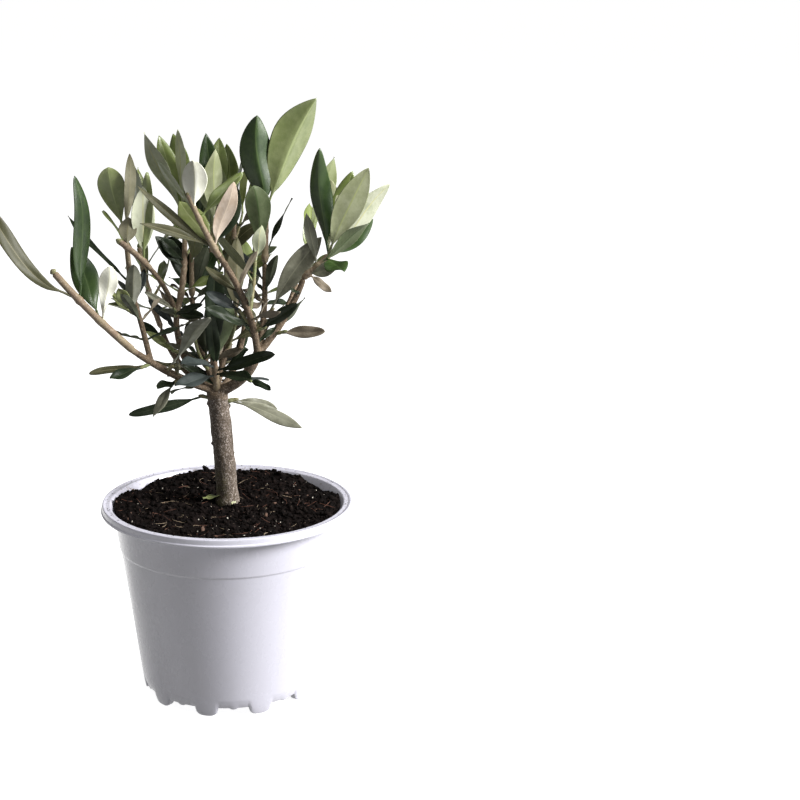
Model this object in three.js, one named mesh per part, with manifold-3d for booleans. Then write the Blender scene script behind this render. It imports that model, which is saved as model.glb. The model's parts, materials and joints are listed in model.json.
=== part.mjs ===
// A young olive tree in a round plastic nursery pot.
//
// The pot is a thin tapered shell with a rolled lip, a shoulder band and ten small feet. It is filled
// with potting soil. The trunk is cut flat at the soil and leans a little to the left up to its fork.
// Bare boughs rise from the fork, and each spray of foliage grows on from a bough: a stem, a few
// twigs and leaves in crossed pairs, all fused in one solid.
//
// Millimetres, +Z up, +X to the right and +Y to the back. A heading is a compass angle seen from above,
// 0 to the right and 90 to the back. A rise is an angle above the level. Angles are in degrees.

import * as THREE from "three";
import { mergeVertices } from "three/addons/utils/BufferGeometryUtils.js";
import Module from "manifold-3d";

const wasm = await Module();
wasm.setup();

// Driving dimensions

const GAP = 0.3; // between two pieces that touch

const POT = {
  height: 101.5,
  topRadius: 58.5, // where the straight wall would reach the top
  baseRadius: 44.6, // and the ground
  wall: 1.4,
  lipRadius: 65,
  lipDrop: 4.2, // how far the lip hangs down
  lipSlope: 1.8, // how far its underside widens towards its edge
  lipEdge: 1.2, // height of the slanted edge below the lip's face
  lipRounding: 1.6,
  lipCrown: 3, // from the lip's face in to its highest ring
  mouthRadius: 59, // inside, at the top
  mouthDepth: 6, // the lip's inside meets the wall this far down
  mouthRounding: 0.8,
  shoulderTop: 97,
  shoulderBottom: 79,
  shoulderStep: 0.6, // how far the band stands proud of the straight wall
  straightFrom: 9, // the wall is straight from this height up
  heelHeight: 4, // and rounds in below this height
  heelInset: 0.4,
  footRadius: 43.8, // to this at the ground
  skirt: 2.6, // thickness of the wall below the floor
  floorHeight: 4.6, // underside of the floor
  floor: 1.8,
  cornerRise: 2, // the inside corner between the floor and the wall is cut off slanting
  cornerRun: 3,
  feet: 10,
  firstFootHeading: 254,
  footHalfWidth: 4, // at the ground
  footHalfRoot: 6.6, // where it meets the arch
  footSplay: 0.5, // how far its side leans out near the ground
  footSplayHeight: 0.8,
  archHeight: 4.5,
  archRounding: 0.6,
  nubHalfWidth: 2.6, // of the small nub in the middle of each arch
  nubDrop: 0.8,
  segments: 40,
};

const SOIL = {
  edge: 4.5, // how far the soil's edge lies under the pot's top
  crown: 2.9, // how far its flat middle lies under the pot's top
  flatRadius: 17,
  rimWidth: 6, // a ring of soil along the wall that rises a little
  rimRise: 0.9,
  slopeRadius: 31, // where the slope up to the crown begins
  slopeRise: 1.2,
  segments: 40,
};

const FLAT_CUT = 0.6; // the trunk's foot is cut level this far above its path's start
const TRUNK = {
  foot: new THREE.Vector3(0, 6, POT.height - SOIL.crown + GAP - FLAT_CUT),
  heading: 201,
  rise: 87,
  turn: 18,
  lift: -5,
  length: 62.5,
  footRadius: 5.5,
  flareRadius: 6.3,
  flareHeight: 5,
  headRadius: 5.4,
};

// A bough leaves its parent `at` millimetres along it, and turns and lifts evenly over its length.
const BOUGHS = [
  {
    name: "bough_left", parent: "trunk", at: 60.5, heading: 207, rise: 22, turn: -1, lift: 16,
    length: 52, radii: [2.6, 1.9],
  },
  {
    name: "bough_left_riser", parent: "bough_left", at: 41, heading: 132, rise: 72, turn: -10, lift: -14,
    length: 38, radii: [1.8, 1.5],
  },
  {
    name: "bough_mid_left", parent: "trunk", at: 61, heading: 157, rise: 20, turn: -28, lift: 76,
    length: 48, radii: [2.3, 1.8],
  },
  {
    name: "bough_mid_stub", parent: "bough_mid_left", at: 47, heading: 244, rise: 63, turn: -29, lift: -17,
    length: 35, radii: [1.7, 1.5],
  },
  {
    name: "bough_centre_left", parent: "trunk", at: 61.5, heading: 113, rise: 35, turn: 12, lift: 49,
    length: 53, radii: [2.1, 1.6],
  },
  {
    name: "bough_centre", parent: "trunk", at: 61.5, heading: 76, rise: 41, turn: -32, lift: 43,
    length: 62, radii: [2.1, 1.6],
  },
  {
    name: "bough_right", parent: "trunk", at: 60.5, heading: 337, rise: 16, turn: 0, lift: 56,
    length: 33, radii: [3.3, 2.7],
  },
  {
    name: "bough_leader", parent: "bough_right", at: 32.5, heading: 256, rise: 68, turn: -52, lift: -14,
    length: 63, radii: [2.2, 1.7],
  },
  {
    name: "bough_upright", parent: "bough_right", at: 32.5, heading: 69, rise: 48, turn: 17, lift: 42,
    length: 48, radii: [2, 1.7],
  },
  {
    name: "bough_right_outer", parent: "bough_right", at: 32, heading: 30, rise: 42, turn: -39, lift: 30,
    length: 46, radii: [2.4, 1.7],
  },
  {
    name: "bough_back_left", parent: "trunk", at: 60, heading: 146, rise: 12, turn: -6, lift: 56,
    length: 48, radii: [2.2, 1.6],
  },
  {
    name: "bough_back", parent: "trunk", at: 60, heading: 96, rise: 14, turn: -4, lift: 60,
    length: 50, radii: [2.2, 1.6],
  },
  {
    name: "bough_back_right", parent: "trunk", at: 60, heading: 60, rise: 12, turn: 14, lift: 58,
    length: 52, radii: [2.2, 1.6],
  },
  {
    name: "bough_back_outer", parent: "bough_right_outer", at: 14, heading: 66, rise: 30, turn: -24, lift: 34,
    length: 32, radii: [1.8, 1.4],
  },
];

const UP = null; // the upper side of a leaf looks up

// One leaf that shows in the outline: where it sits on its stem, its heading and rise, length and width,
// the heading its upper side looks to, how far its blade bends to that side, and how far it bows to
// the right of someone who looks at that side with the tip up. Bend and bow are the angle that the
// blade turns through from its foot to its tip.
const leaf = (at, heading, rise, long, wide, face = UP, bend = 0, bow = 0) => ({
  at, heading, rise, long, wide, face, bend, bow, sides: 4,
});

// A spray grows on from its parent. `pairs` and `twigs` are what the seeded rule adds to the named leaves.
const SPRAYS = [
  {
    name: "spray_left_tip", parent: "bough_left", at: 52, heading: 204, rise: 43, turn: -13, lift: 9,
    length: 57, radii: [1.9, 1.7], seed: 11, pairs: 0, twigs: 0,
    leaves: [
      leaf(39, 190, 50, 68, 9, 290, 0, 54), leaf(38, 85, 85, 60, 11, 320, 6, -26),
      leaf(24, 145, 65, 38, 13, 285, 4, -14), leaf(22, 310, 75, 30, 9, 100, 8),
    ],
  },
  {
    name: "spray_left_riser", parent: "bough_left_riser", at: 38, heading: 103, rise: 72, turn: 10, lift: 1,
    length: 29, radii: [1.5, 1.2], seed: 23, pairs: 0, twigs: 0,
    leaves: [
      leaf(29, 150, 75, 33, 14, 90, -6, -16), leaf(29, 60, 80, 39, 7, 120, 16),
      leaf(3, 160, 45, 46, 8, UP, 10),
    ],
  },
  {
    name: "spur_left_riser", parent: "bough_left_riser", at: 24, heading: 210, rise: 30, turn: 0, lift: 0,
    length: 7, radii: [0.9, 0.8], seed: 29, pairs: 0, twigs: 0,
    leaves: [
      leaf(4, 290, 80, 25, 9, 90, 8), leaf(4, 140, 30, 18, 8), leaf(4, 150, 10, 16, 8, UP, -12),
      leaf(4, 215, 60, 15, 8, 240, -8),
    ],
  },
  {
    name: "spray_mid_stub", parent: "bough_mid_stub", at: 35, heading: 215, rise: 46, turn: -16, lift: -9,
    length: 20, radii: [1.5, 1.5], seed: 37, pairs: 0, twigs: 0,
    leaves: [
      leaf(3, 85, 85, 37, 12, 100, -8), leaf(3, 65, 80, 44, 9, 60, 8), leaf(15, 85, 60, 16, 9, 90),
    ],
  },
  {
    name: "spray_mid_left", parent: "bough_mid_left", at: 48, heading: 45, rise: 66, turn: 56, lift: 21,
    length: 50, radii: [1.6, 1.2], seed: 41, pairs: 2, twigs: 1,
    leaves: [
      leaf(50, 190, 65, 47, 11, 60, -12, -14), leaf(47, 115, 85, 47, 11, 30, 5),
      leaf(50, 145, 70, 43, 11, 280, 4), leaf(50, 0, 85, 27, 8, 200, 6),
      leaf(23, 195, 50, 23, 9, 300, -14, -10), leaf(27, 210, 45, 18, 8, 290, -6),
    ],
  },
  {
    name: "spur_mid_left", parent: "bough_mid_left", at: 46, heading: 262, rise: 42, turn: 0, lift: 0,
    length: 8, radii: [1, 0.8], seed: 43, pairs: 0, twigs: 0,
    leaves: [
      leaf(4, 245, 15, 17, 8, 240), leaf(4, 315, 20, 21, 5, 280), leaf(4, 325, 0, 18, 7, 290),
      leaf(7, 205, 35, 19, 4, 280),
    ],
  },
  {
    name: "spur_mid_left_low", parent: "bough_mid_left", at: 27, heading: 225, rise: 20, turn: 0, lift: 0,
    length: 7, radii: [0.9, 0.8], seed: 47, pairs: 0, twigs: 0,
    leaves: [
      leaf(4, 215, 35, 22, 5, 250),
    ],
  },
  {
    name: "spray_centre_left", parent: "bough_centre_left", at: 53, heading: 91, rise: 82, turn: 0, lift: 0,
    length: 29, radii: [1.5, 1.1], seed: 53, pairs: 3, twigs: 1,
    leaves: [
      leaf(3, 160, 65, 30, 13, 280, 8, -12), leaf(3, 35, 65, 24, 10, 100, 6),
      leaf(3, 40, 50, 24, 9, 280, 6),
    ],
  },
  {
    name: "spur_centre_left", parent: "bough_centre_left", at: 20, heading: 290, rise: 20, turn: 0, lift: 0,
    length: 8, radii: [1, 0.8], seed: 59, pairs: 0, twigs: 0,
    leaves: [
      leaf(8, 70, 75, 30, 10, 290, 6), leaf(4, 245, 65, 16, 8, 90, 4),
    ],
  },
  {
    name: "spray_mid_low", parent: "bough_centre_left", at: 12, heading: 215, rise: 50, turn: 0, lift: 30,
    length: 20, radii: [1, 0.8], seed: 60, pairs: 2, twigs: 0,
    leaves: [],
  },
  {
    name: "spray_centre", parent: "bough_centre", at: 62, heading: 137, rise: 76, turn: -63, lift: 3,
    length: 32, radii: [1.5, 1.1], seed: 61, pairs: 2, twigs: 1,
    leaves: [
      leaf(32, 125, 80, 37, 10, 250, 4),
    ],
  },
  {
    name: "spray_centre_side", parent: "bough_centre", at: 56, heading: 195, rise: 60, turn: 0, lift: 16,
    length: 36, radii: [1.3, 0.9], seed: 67, pairs: 2, twigs: 0,
    leaves: [
      leaf(36, 295, 85, 34, 16, 90, -4), leaf(36, 115, 85, 47, 11, 290, 4),
      leaf(36, 55, 80, 45, 12, 270, 4),
    ],
  },
  {
    name: "spray_centre_low", parent: "bough_centre", at: 24, heading: 300, rise: 50, turn: 0, lift: 20,
    length: 22, radii: [1.2, 0.9], seed: 68, pairs: 2, twigs: 0,
    leaves: [],
  },
  {
    name: "spray_leader", parent: "bough_leader", at: 63, heading: 217, rise: 58, turn: -23, lift: 10,
    length: 33, radii: [1.6, 1.1], seed: 71, pairs: 1, twigs: 0,
    leaves: [
      leaf(25, 270, 70, 25, 12, 90, -10, 10), leaf(3, 330, 70, 34, 9, 100, -6),
      leaf(3, 25, 65, 31, 12, 270, 6), leaf(3, 195, 20, 38, 5, 280, 0, -14),
      leaf(3, 185, 40, 47, 5, 280, 0, 10), leaf(3, 155, 50, 28, 12, 270, -6),
    ],
  },
  {
    name: "spur_leader", parent: "bough_leader", at: 14, heading: 205, rise: 55, turn: 0, lift: 0,
    length: 14, radii: [0.9, 0.8], seed: 73, pairs: 0, twigs: 0,
    leaves: [
      leaf(3, 210, 25, 29, 7, 230, -10), leaf(14, 200, 30, 20, 7, 240, -16),
    ],
  },
  {
    name: "spur_leader_right", parent: "bough_leader", at: 14, heading: 330, rise: 20, turn: 0, lift: 0,
    length: 6, radii: [0.9, 0.8], seed: 75, pairs: 0, twigs: 0,
    leaves: [
      leaf(4, 330, 35, 26, 7, 300, -6),
    ],
  },
  {
    name: "spray_leader_side", parent: "bough_leader", at: 24, heading: 60, rise: 70, turn: 0, lift: 12,
    length: 27, radii: [1.1, 0.8], seed: 79, pairs: 1, twigs: 0,
    leaves: [
      leaf(27, 310, 75, 19, 7, 100, 6),
    ],
  },
  {
    name: "spray_upright", parent: "bough_upright", at: 48, heading: 57, rise: 86, turn: 0, lift: 0,
    length: 27, radii: [1.7, 1.1], seed: 83, pairs: 1, twigs: 0,
    leaves: [
      leaf(27, 10, 65, 61, 21, 100, -4, -10), leaf(25, 180, 85, 49, 17, 270, -4, 14),
      leaf(3, 210, 80, 37, 13, 90, 6), leaf(3, 30, 60, 33, 7, 190, -8),
    ],
  },
  {
    name: "spur_upright", parent: "bough_upright", at: 20, heading: 330, rise: 40, turn: 0, lift: 0,
    length: 7, radii: [1, 0.8], seed: 87, pairs: 0, twigs: 0,
    leaves: [
      leaf(5, 5, 55, 46, 12, 300, 6, 16),
    ],
  },
  {
    name: "spray_right_outer", parent: "bough_right_outer", at: 46, heading: 3, rise: 41, turn: -3, lift: 1,
    length: 17, radii: [1.7, 1.3], seed: 89, pairs: 1, twigs: 0,
    leaves: [
      leaf(17, 180, 85, 54, 11, 250, 8, 18), leaf(17, 35, 70, 44, 12, 270, 4),
      leaf(17, 80, 70, 38, 10, 250, 4), leaf(16, 340, 65, 50, 15, 90, 8, -12),
      leaf(17, 5, 50, 47, 12, 90, 6), leaf(17, 20, 35, 30, 9, 300, 6, -24),
      leaf(3, 330, 15, 17, 8, 280), leaf(15, 290, -10, 22, 12, 280, -10),
      leaf(3, 340, -35, 15, 5, 290), leaf(9, 130, 70, 27, 6, 90, -6),
    ],
  },
  {
    name: "spur_right_outer", parent: "bough_right_outer", at: 13, heading: 330, rise: 20, turn: 0, lift: 0,
    length: 7, radii: [0.9, 0.8], seed: 97, pairs: 0, twigs: 0,
    leaves: [
      leaf(4, 340, 5, 24, 8, 290, 6),
    ],
  },
  {
    name: "spur_left_front", parent: "bough_left", at: 31, heading: 300, rise: 30, turn: 0, lift: 0,
    length: 7, radii: [1, 0.8], seed: 103, pairs: 0, twigs: 0,
    leaves: [
      leaf(4, 310, 45, 45, 9, 100, -20),
    ],
  },
  {
    name: "spur_right", parent: "bough_right", at: 18, heading: 290, rise: -4, turn: 0, lift: 0,
    length: 9, radii: [1, 0.8], seed: 131, pairs: 0, twigs: 0,
    leaves: [
      leaf(7, 25, 35, 13, 8, 280), leaf(7, 320, -10, 14, 5, 290, -6),
    ],
  },
  {
    name: "spray_front", parent: "trunk", at: 59.5, heading: 268, rise: 52, turn: -10, lift: 26,
    length: 26, radii: [1.9, 1.2], seed: 101, pairs: 2, twigs: 0,
    leaves: [
      leaf(13, 230, 0, 31, 9, 250, -8), leaf(14, 305, 5, 31, 9, 290, -8),
      leaf(16, 325, 20, 38, 8, 300, 8), leaf(18, 220, 20, 33, 9, 250, -10),
      leaf(16, 265, 65, 34, 8, 270, -6), leaf(21, 40, 75, 34, 14, 90, -4),
    ],
  },
  {
    name: "spur_left_low", parent: "bough_left", at: 40, heading: 214, rise: -12, turn: 0, lift: 0,
    length: 7, radii: [0.9, 0.8], seed: 107, pairs: 0, twigs: 0,
    leaves: [
      leaf(4, 190, -5, 28, 5, 265, -6), leaf(7, 225, -5, 20, 7, 250),
    ],
  },
  {
    name: "spur_left_inner", parent: "bough_left", at: 22, heading: 226, rise: -18, turn: 0, lift: 0,
    length: 7, radii: [0.9, 0.8], seed: 109, pairs: 0, twigs: 0,
    leaves: [
      leaf(4, 235, 0, 15, 7, 250), leaf(5, 225, -45, 21, 7, 230, -8),
    ],
  },
  {
    name: "spur_trunk_left", parent: "trunk", at: 56, heading: 188, rise: 16, turn: 0, lift: 0,
    length: 9, radii: [1.2, 0.9], seed: 113, pairs: 0, twigs: 0,
    leaves: [
      leaf(8, 195, -10, 39, 7, 250, -8, 10),
    ],
  },
  {
    name: "spur_trunk_right", parent: "trunk", at: 54, heading: 356, rise: 14, turn: 0, lift: 0,
    length: 9, radii: [1.2, 0.9], seed: 127, pairs: 0, twigs: 0,
    leaves: [
      leaf(7, 15, -15, 26, 5, 290, 0, 20), leaf(6, 350, -20, 40, 7, 290, -4, 14),
    ],
  },
  {
    name: "spray_back_left", parent: "bough_back_left", at: 48, heading: 138, rise: 62, turn: -10, lift: 14,
    length: 44, radii: [1.5, 1.1], seed: 137, pairs: 4, twigs: 2,
    leaves: [],
  },
  {
    name: "spray_back", parent: "bough_back", at: 50, heading: 92, rise: 66, turn: -14, lift: 12,
    length: 46, radii: [1.5, 1.1], seed: 139, pairs: 5, twigs: 2,
    leaves: [],
  },
  {
    name: "spray_back_right", parent: "bough_back_right", at: 52, heading: 58, rise: 64, turn: 16, lift: 12,
    length: 42, radii: [1.5, 1.1], seed: 173, pairs: 4, twigs: 2,
    leaves: [],
  },
  {
    name: "spray_back_outer", parent: "bough_back_outer", at: 32, heading: 40, rise: 60, turn: 0, lift: 14,
    length: 24, radii: [1.4, 1.1], seed: 167, pairs: 3, twigs: 0,
    leaves: [],
  },
  {
    name: "spray_skirt_back", parent: "trunk", at: 57, heading: 92, rise: 16, turn: 0, lift: 40,
    length: 20, radii: [1.3, 0.9], seed: 151, pairs: 0, twigs: 0,
    leaves: [
      leaf(12, 170, 5, 30, 11, UP, -10), leaf(13, 30, 0, 32, 11, UP, -10),
      leaf(18, 130, 10, 34, 11, UP, -12), leaf(19, 60, 10, 33, 11, UP, -12),
      leaf(16, 95, -10, 28, 10, UP, -14),
    ],
  },
];

// What the seeded rule adds: leaves in crossed pairs along the stem, and short twigs that carry two pairs.
const RULE = {
  firstPair: 0.22,
  lastPair: 0.96,
  lowRise: 24,
  highRise: 74,
  riseJitter: 16,
  headingJitter: 34,
  shortest: 24,
  longest: 44,
  lengthJitter: 0.16,
  slenderness: 0.27, // a leaf's width over its length
  bend: -6,
  bendJitter: 22,
  twistJitter: 130,
  crossing: 90, // from one pair's heading to the next
  twigFirst: 0.35,
  twigLast: 0.8,
  twigOffset: 45, // from the first pair's heading to the first twig's
  twigTurn: 140, // from one twig's heading to the next
  twigLength: 17,
  twigRise: 46,
  twigLift: 20,
  twigRadii: [0.8, 0.6],
  twigLeaf: 25, // length of the leaves at a twig's tip
  twigTipHeading: 20, // added to the twig's own heading
  twigTipRise: 20,
  twigLowPlace: 0.55, // of the pair further down a twig
  twigLowSize: 0.8,
  twigLowRise: -10,
};

// A leaf that would touch something is turned a little, and left out if no turn clears it.
const TURNS = [
  [0, 0], [6, 0], [-6, 0], [0, 7], [0, -7], [13, 4], [-13, 4], [20, -5], [-20, -5], [30, 8], [-30, 8],
];
const NAMED_CLEARANCE = 2.6; // from a named leaf to the leaves of other sprays
const RULE_CLEARANCE = 2.2; // from a leaf of the rule to every leaf
const LIMB_CLEARANCE = 1.2;
const STATION_SLACK = 0.4; // more than half the way between two of a limb's stations
const LEVEL_CLEARANCE = 4; // a leaf stays this far above the pot's top

const FACE_RISE = 30; // how far the upper side of a leaf looks up where its face has a heading
const PETIOLE_SHARE = 0.13; // of a leaf's length
const PETIOLE_HALF = 0.6;
const OUTLINE_SKEW = 1.12; // above 1, the blade is widest past its middle
const OUTLINE_FULLNESS = 0.8; // below 1, the outline is fuller than a sine
const TIP_HALF = 0.25;
const BLADE_THICKNESS = 0.85;
const THINNEST_HALF = 0.3;
const BLADE_FOLD = 0.16; // how far a blade's edges stand up, over its half width
const KEELED_FOLD = 0.08; // the same on a three-sided leaf
const BLADE_RINGS = 4;
const TEST_STATIONS = 12; // along a leaf, for what it might touch
const TEST_FIRST = 3;
const TEST_ACROSS = [-1, -0.5, 0, 0.5, 1]; // in half widths

// Sides and rings of the round limbs
const FACETS = {
  trunk: [14, 9],
  bough: [6, 5],
  stem: [5, 4],
  twig: [3, 3],
};

const FINISHES = {
  pot: { color: 0xe9e9ee, roughness: 0.35 },
  soil: { color: 0x251a15, roughness: 1 },
  bark: { color: 0x8a7461, roughness: 0.9 },
  foliage: { color: 0x5e7145, roughness: 0.6 },
};

// Small helpers

const radians = THREE.MathUtils.degToRad;

// The unit vector with this heading and rise.
function aim(heading, rise) {
  const level = Math.cos(radians(rise));
  return new THREE.Vector3(
    level * Math.cos(radians(heading)),
    level * Math.sin(radians(heading)),
    Math.sin(radians(rise)),
  );
}

const DRAW_FACTOR = 48271;
const DRAW_RANGE = 2147483647;

// Repeatable draws between 0 and 1.
function drawsFrom(seed) {
  let state = seed;
  return () => {
    state = (state * DRAW_FACTOR) % DRAW_RANGE;
    return state / DRAW_RANGE;
  };
}

// A draw spread evenly round 0, from minus to plus half the width.
const spread = (draw, width) => (draw() - 0.5) * width;

const finish = (name) => new THREE.MeshStandardMaterial({ ...FINISHES[name], metalness: 0 });

const toPoints = (outline) => outline.map(([x, y]) => new THREE.Vector2(x, y));

const WELD = 1e-4;

// A closed geometry as a solid that can be cut and joined.
function solidOf(geometry) {
  const bare = geometry.clone();
  bare.deleteAttribute("normal");
  bare.deleteAttribute("uv");
  const merged = mergeVertices(bare, WELD);
  return new wasm.Manifold(
    new wasm.Mesh({
      numProp: 3,
      vertProperties: new Float32Array(merged.attributes.position.array),
      triVerts: new Uint32Array(merged.index.array),
    }),
  );
}

// The largest body of a solid as a named mesh: scraps that a cut leaves are dropped.
function meshOf(name, solid, look) {
  const largest = solid.decompose().reduce((a, b) => (b.volume() > a.volume() ? b : a));
  const { vertProperties, triVerts } = largest.getMesh();
  const geometry = new THREE.BufferGeometry();
  geometry.setAttribute("position", new THREE.BufferAttribute(vertProperties, 3));
  geometry.setIndex(new THREE.BufferAttribute(triVerts, 1));
  geometry.computeVertexNormals();
  const mesh = new THREE.Mesh(geometry, look);
  mesh.name = name;
  return mesh;
}

// Paths of the limbs

const PATH_STEPS = 16;

class Path {
  // Walks from a start, turning and lifting evenly.
  constructor(start, { heading, rise, turn, lift, length }) {
    this.length = length;
    this.points = [start.clone()];
    this.directions = [];
    this.sides = [];
    let side = aim(heading + 90, 0);
    for (let step = 0; step < PATH_STEPS; step++) {
      const share = (step + 0.5) / PATH_STEPS;
      const direction = aim(heading + turn * share, rise + lift * share);
      side = side.clone().addScaledVector(direction, -side.dot(direction)).normalize();
      this.directions.push(direction);
      this.sides.push(side);
      this.points.push(this.points[step].clone().addScaledVector(direction, length / PATH_STEPS));
    }
  }

  pointAt(distance) {
    const place = THREE.MathUtils.clamp(distance / this.length, 0, 1) * PATH_STEPS;
    const step = Math.min(Math.floor(place), PATH_STEPS - 1);
    return this.points[step].clone().lerp(this.points[step + 1], place - step);
  }

  // The path's direction at a share of its length, with a side and a normal that don't twist.
  frameAt(share) {
    const step = Math.min(Math.floor(share * PATH_STEPS), PATH_STEPS - 1);
    const direction = this.directions[step];
    const side = this.sides[step];
    return { direction, side, normal: new THREE.Vector3().crossVectors(side, direction) };
  }
}

// A cylinder bent along a line: frameAt gives the centre, side and normal at a share of its length,
// and halfAt the half width along the side and the half thickness along the normal.
function sweep(sides, rings, frameAt, halfAt) {
  const geometry = new THREE.CylinderGeometry(1, 1, 1, sides, rings);
  const position = geometry.attributes.position;
  const corner = new THREE.Vector3();
  for (let i = 0; i < position.count; i++) {
    corner.fromBufferAttribute(position, i);
    const share = corner.y + 0.5;
    const { centre, side, normal } = frameAt(share);
    const [halfWidth, halfThickness, fold] = halfAt(share);
    const across = corner.x * halfWidth;
    const out = centre
      .clone()
      .addScaledVector(side, across)
      .addScaledVector(normal, corner.z * halfThickness + fold * Math.abs(across));
    position.setXYZ(i, out.x, out.y, out.z);
  }
  return solidOf(geometry);
}

// A round tapering limb along a path, and past its end by `more`. `extra` makes it fatter.
function limbSolid(path, radiusAt, sides, rings, extra = 0, more = 0) {
  const frameAt = (share) => {
    const { direction, side, normal } = path.frameAt(share);
    const centre = path.pointAt(share * path.length);
    if (share === 1) centre.addScaledVector(direction, more);
    return { centre, side, normal };
  };
  const halfAt = (share) => {
    const radius = radiusAt(share) + extra;
    return [radius, radius, 0];
  };
  return sweep(sides, rings, frameAt, halfAt);
}

const taper = ([start, end]) => (share) => start + (end - start) * share;

// Leaves

const STRAIGHT = 0.1; // a blade that turns by less than this is straight

// A leaf's line: it starts on the stem and bends evenly, flatwise and edgewise.
class LeafLine {
  constructor(base, { heading, rise, long, wide, face, bend, bow = 0, twist = 0, sides }) {
    this.base = base;
    this.long = long;
    this.wide = wide;
    this.sides = sides;
    this.direction = aim(heading, rise);
    const looks = face === UP ? new THREE.Vector3(0, 0, 1) : aim(face, FACE_RISE);
    this.normal = looks.addScaledVector(this.direction, -looks.dot(this.direction)).normalize();
    this.normal.applyAxisAngle(this.direction, radians(twist));
    this.side = new THREE.Vector3().crossVectors(this.direction, this.normal);
    this.curl = radians(Math.max(Math.hypot(bend, bow), STRAIGHT));
    this.inward = this.normal.clone().multiplyScalar(bend).addScaledVector(this.side, bow);
    if (this.inward.length() < STRAIGHT) this.inward.copy(this.normal);
    this.inward.normalize();
    this.hinge = new THREE.Vector3().crossVectors(this.direction, this.inward);
  }

  // The angle between the leaf's line and its chord at a share of the length.
  angleAt(share) {
    return this.curl * (share - 0.5);
  }

  centreAt(share) {
    const along = (Math.sin(this.angleAt(share)) - Math.sin(this.angleAt(0))) / this.curl;
    const inward = (Math.cos(this.angleAt(0)) - Math.cos(this.angleAt(share))) / this.curl;
    return this.base
      .clone()
      .addScaledVector(this.direction, along * this.long)
      .addScaledVector(this.inward, inward * this.long);
  }

  normalAt(share) {
    return this.normal.clone().applyAxisAngle(this.hinge, this.angleAt(share));
  }

  sideAt(share) {
    return this.side.clone().applyAxisAngle(this.hinge, this.angleAt(share));
  }

  // Half the blade's width: a thin stalk, then an outline that is widest past its middle.
  halfWidthAt(share) {
    if (share <= PETIOLE_SHARE) return PETIOLE_HALF;
    const blade = (share - PETIOLE_SHARE) / (1 - PETIOLE_SHARE);
    const outline = Math.max(Math.sin(Math.PI * blade ** OUTLINE_SKEW), 0) ** OUTLINE_FULLNESS;
    return Math.max(TIP_HALF, (this.wide / 2) * outline);
  }

  // Points of the blade that are tested against its neighbours.
  testPoints() {
    const points = [];
    for (let station = TEST_FIRST; station <= TEST_STATIONS; station++) {
      const share = station / TEST_STATIONS;
      const half = this.halfWidthAt(share);
      for (const across of TEST_ACROSS) {
        points.push(this.centreAt(share).addScaledVector(this.sideAt(share), across * half));
      }
    }
    return points;
  }

  // The blade as a flattened tube. With four sides it is a folded lozenge across. With three it is
  // flat above and keeled below.
  solid() {
    const frameAt = (place) => {
      const share = this.ringShare(place);
      return { centre: this.centreAt(share), side: this.sideAt(share), normal: this.normalAt(share) };
    };
    const halfAt = (place) => {
      const half = this.halfWidthAt(this.ringShare(place));
      const isStalk = Math.round(place * BLADE_RINGS) <= 1;
      const thick = isStalk ? PETIOLE_HALF : THREE.MathUtils.clamp(half, THINNEST_HALF, BLADE_THICKNESS / 2);
      const folded = half > PETIOLE_HALF;
      return this.sides === 3
        ? [-half, -thick, folded ? KEELED_FOLD : 0]
        : [half, thick, folded ? BLADE_FOLD : 0];
    };
    return sweep(this.sides, BLADE_RINGS, frameAt, halfAt);
  }

  // The share of the leaf's length at which a ring lies: one at its foot, the others along the blade.
  ringShare(place) {
    const ring = Math.round(place * BLADE_RINGS);
    if (ring === 0) return 0;
    return PETIOLE_SHARE + (1 - PETIOLE_SHARE) * ((ring - 1) / (BLADE_RINGS - 1));
  }
}

// Everything that the tree grows, in order, and what has been placed so far

const paths = new Map(); // of the trunk, the boughs and the stems of the sprays, by name
const radiusLaws = new Map();
const limbs = []; // {path, radius} of these and of each twig

function addLimb(name, path, law) {
  paths.set(name, path);
  radiusLaws.set(name, law);
  limbs.push({ path, radius: law(0.5) });
}

const trunkRadius = (share) => {
  const height = share * TRUNK.length;
  const flare = (TRUNK.flareRadius - TRUNK.footRadius) * Math.exp(-height / TRUNK.flareHeight);
  return taper([TRUNK.footRadius, TRUNK.headRadius])(share) + flare;
};
addLimb("trunk", new Path(TRUNK.foot, TRUNK), trunkRadius);
for (const limb of [...BOUGHS, ...SPRAYS]) {
  addLimb(limb.name, new Path(paths.get(limb.parent).pointAt(limb.at), limb), taper(limb.radii));
}

const placedLeaves = []; // {owner, points, middle, reach} of each

// Whether any point is near a limb other than the one that it grows on.
function touchesLimb(points, parent) {
  return limbs.some(({ path, radius }) => {
    if (path === parent) return false;
    const reach = Math.max(radius + LIMB_CLEARANCE, path.length / PATH_STEPS / 2 + STATION_SLACK);
    return path.points.some((station) => points.some((point) => point.distanceTo(station) < reach));
  });
}

// Whether any point is near a placed leaf. Leaves of the owner's spray are passed over.
function touchesLeaf(points, clearance, owner) {
  const middle = points[Math.floor(points.length / 2)];
  const reach = Math.max(...points.map((point) => point.distanceTo(middle)));
  return placedLeaves.some((other) => {
    if (other.owner === owner) return false;
    if (other.middle.distanceTo(middle) > other.reach + reach + clearance) return false;
    return other.points.some((a) => points.some((b) => a.distanceTo(b) < clearance));
  });
}

const isHigh = (points) => points.every((point) => point.z > POT.height + LEVEL_CLEARANCE);

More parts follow.
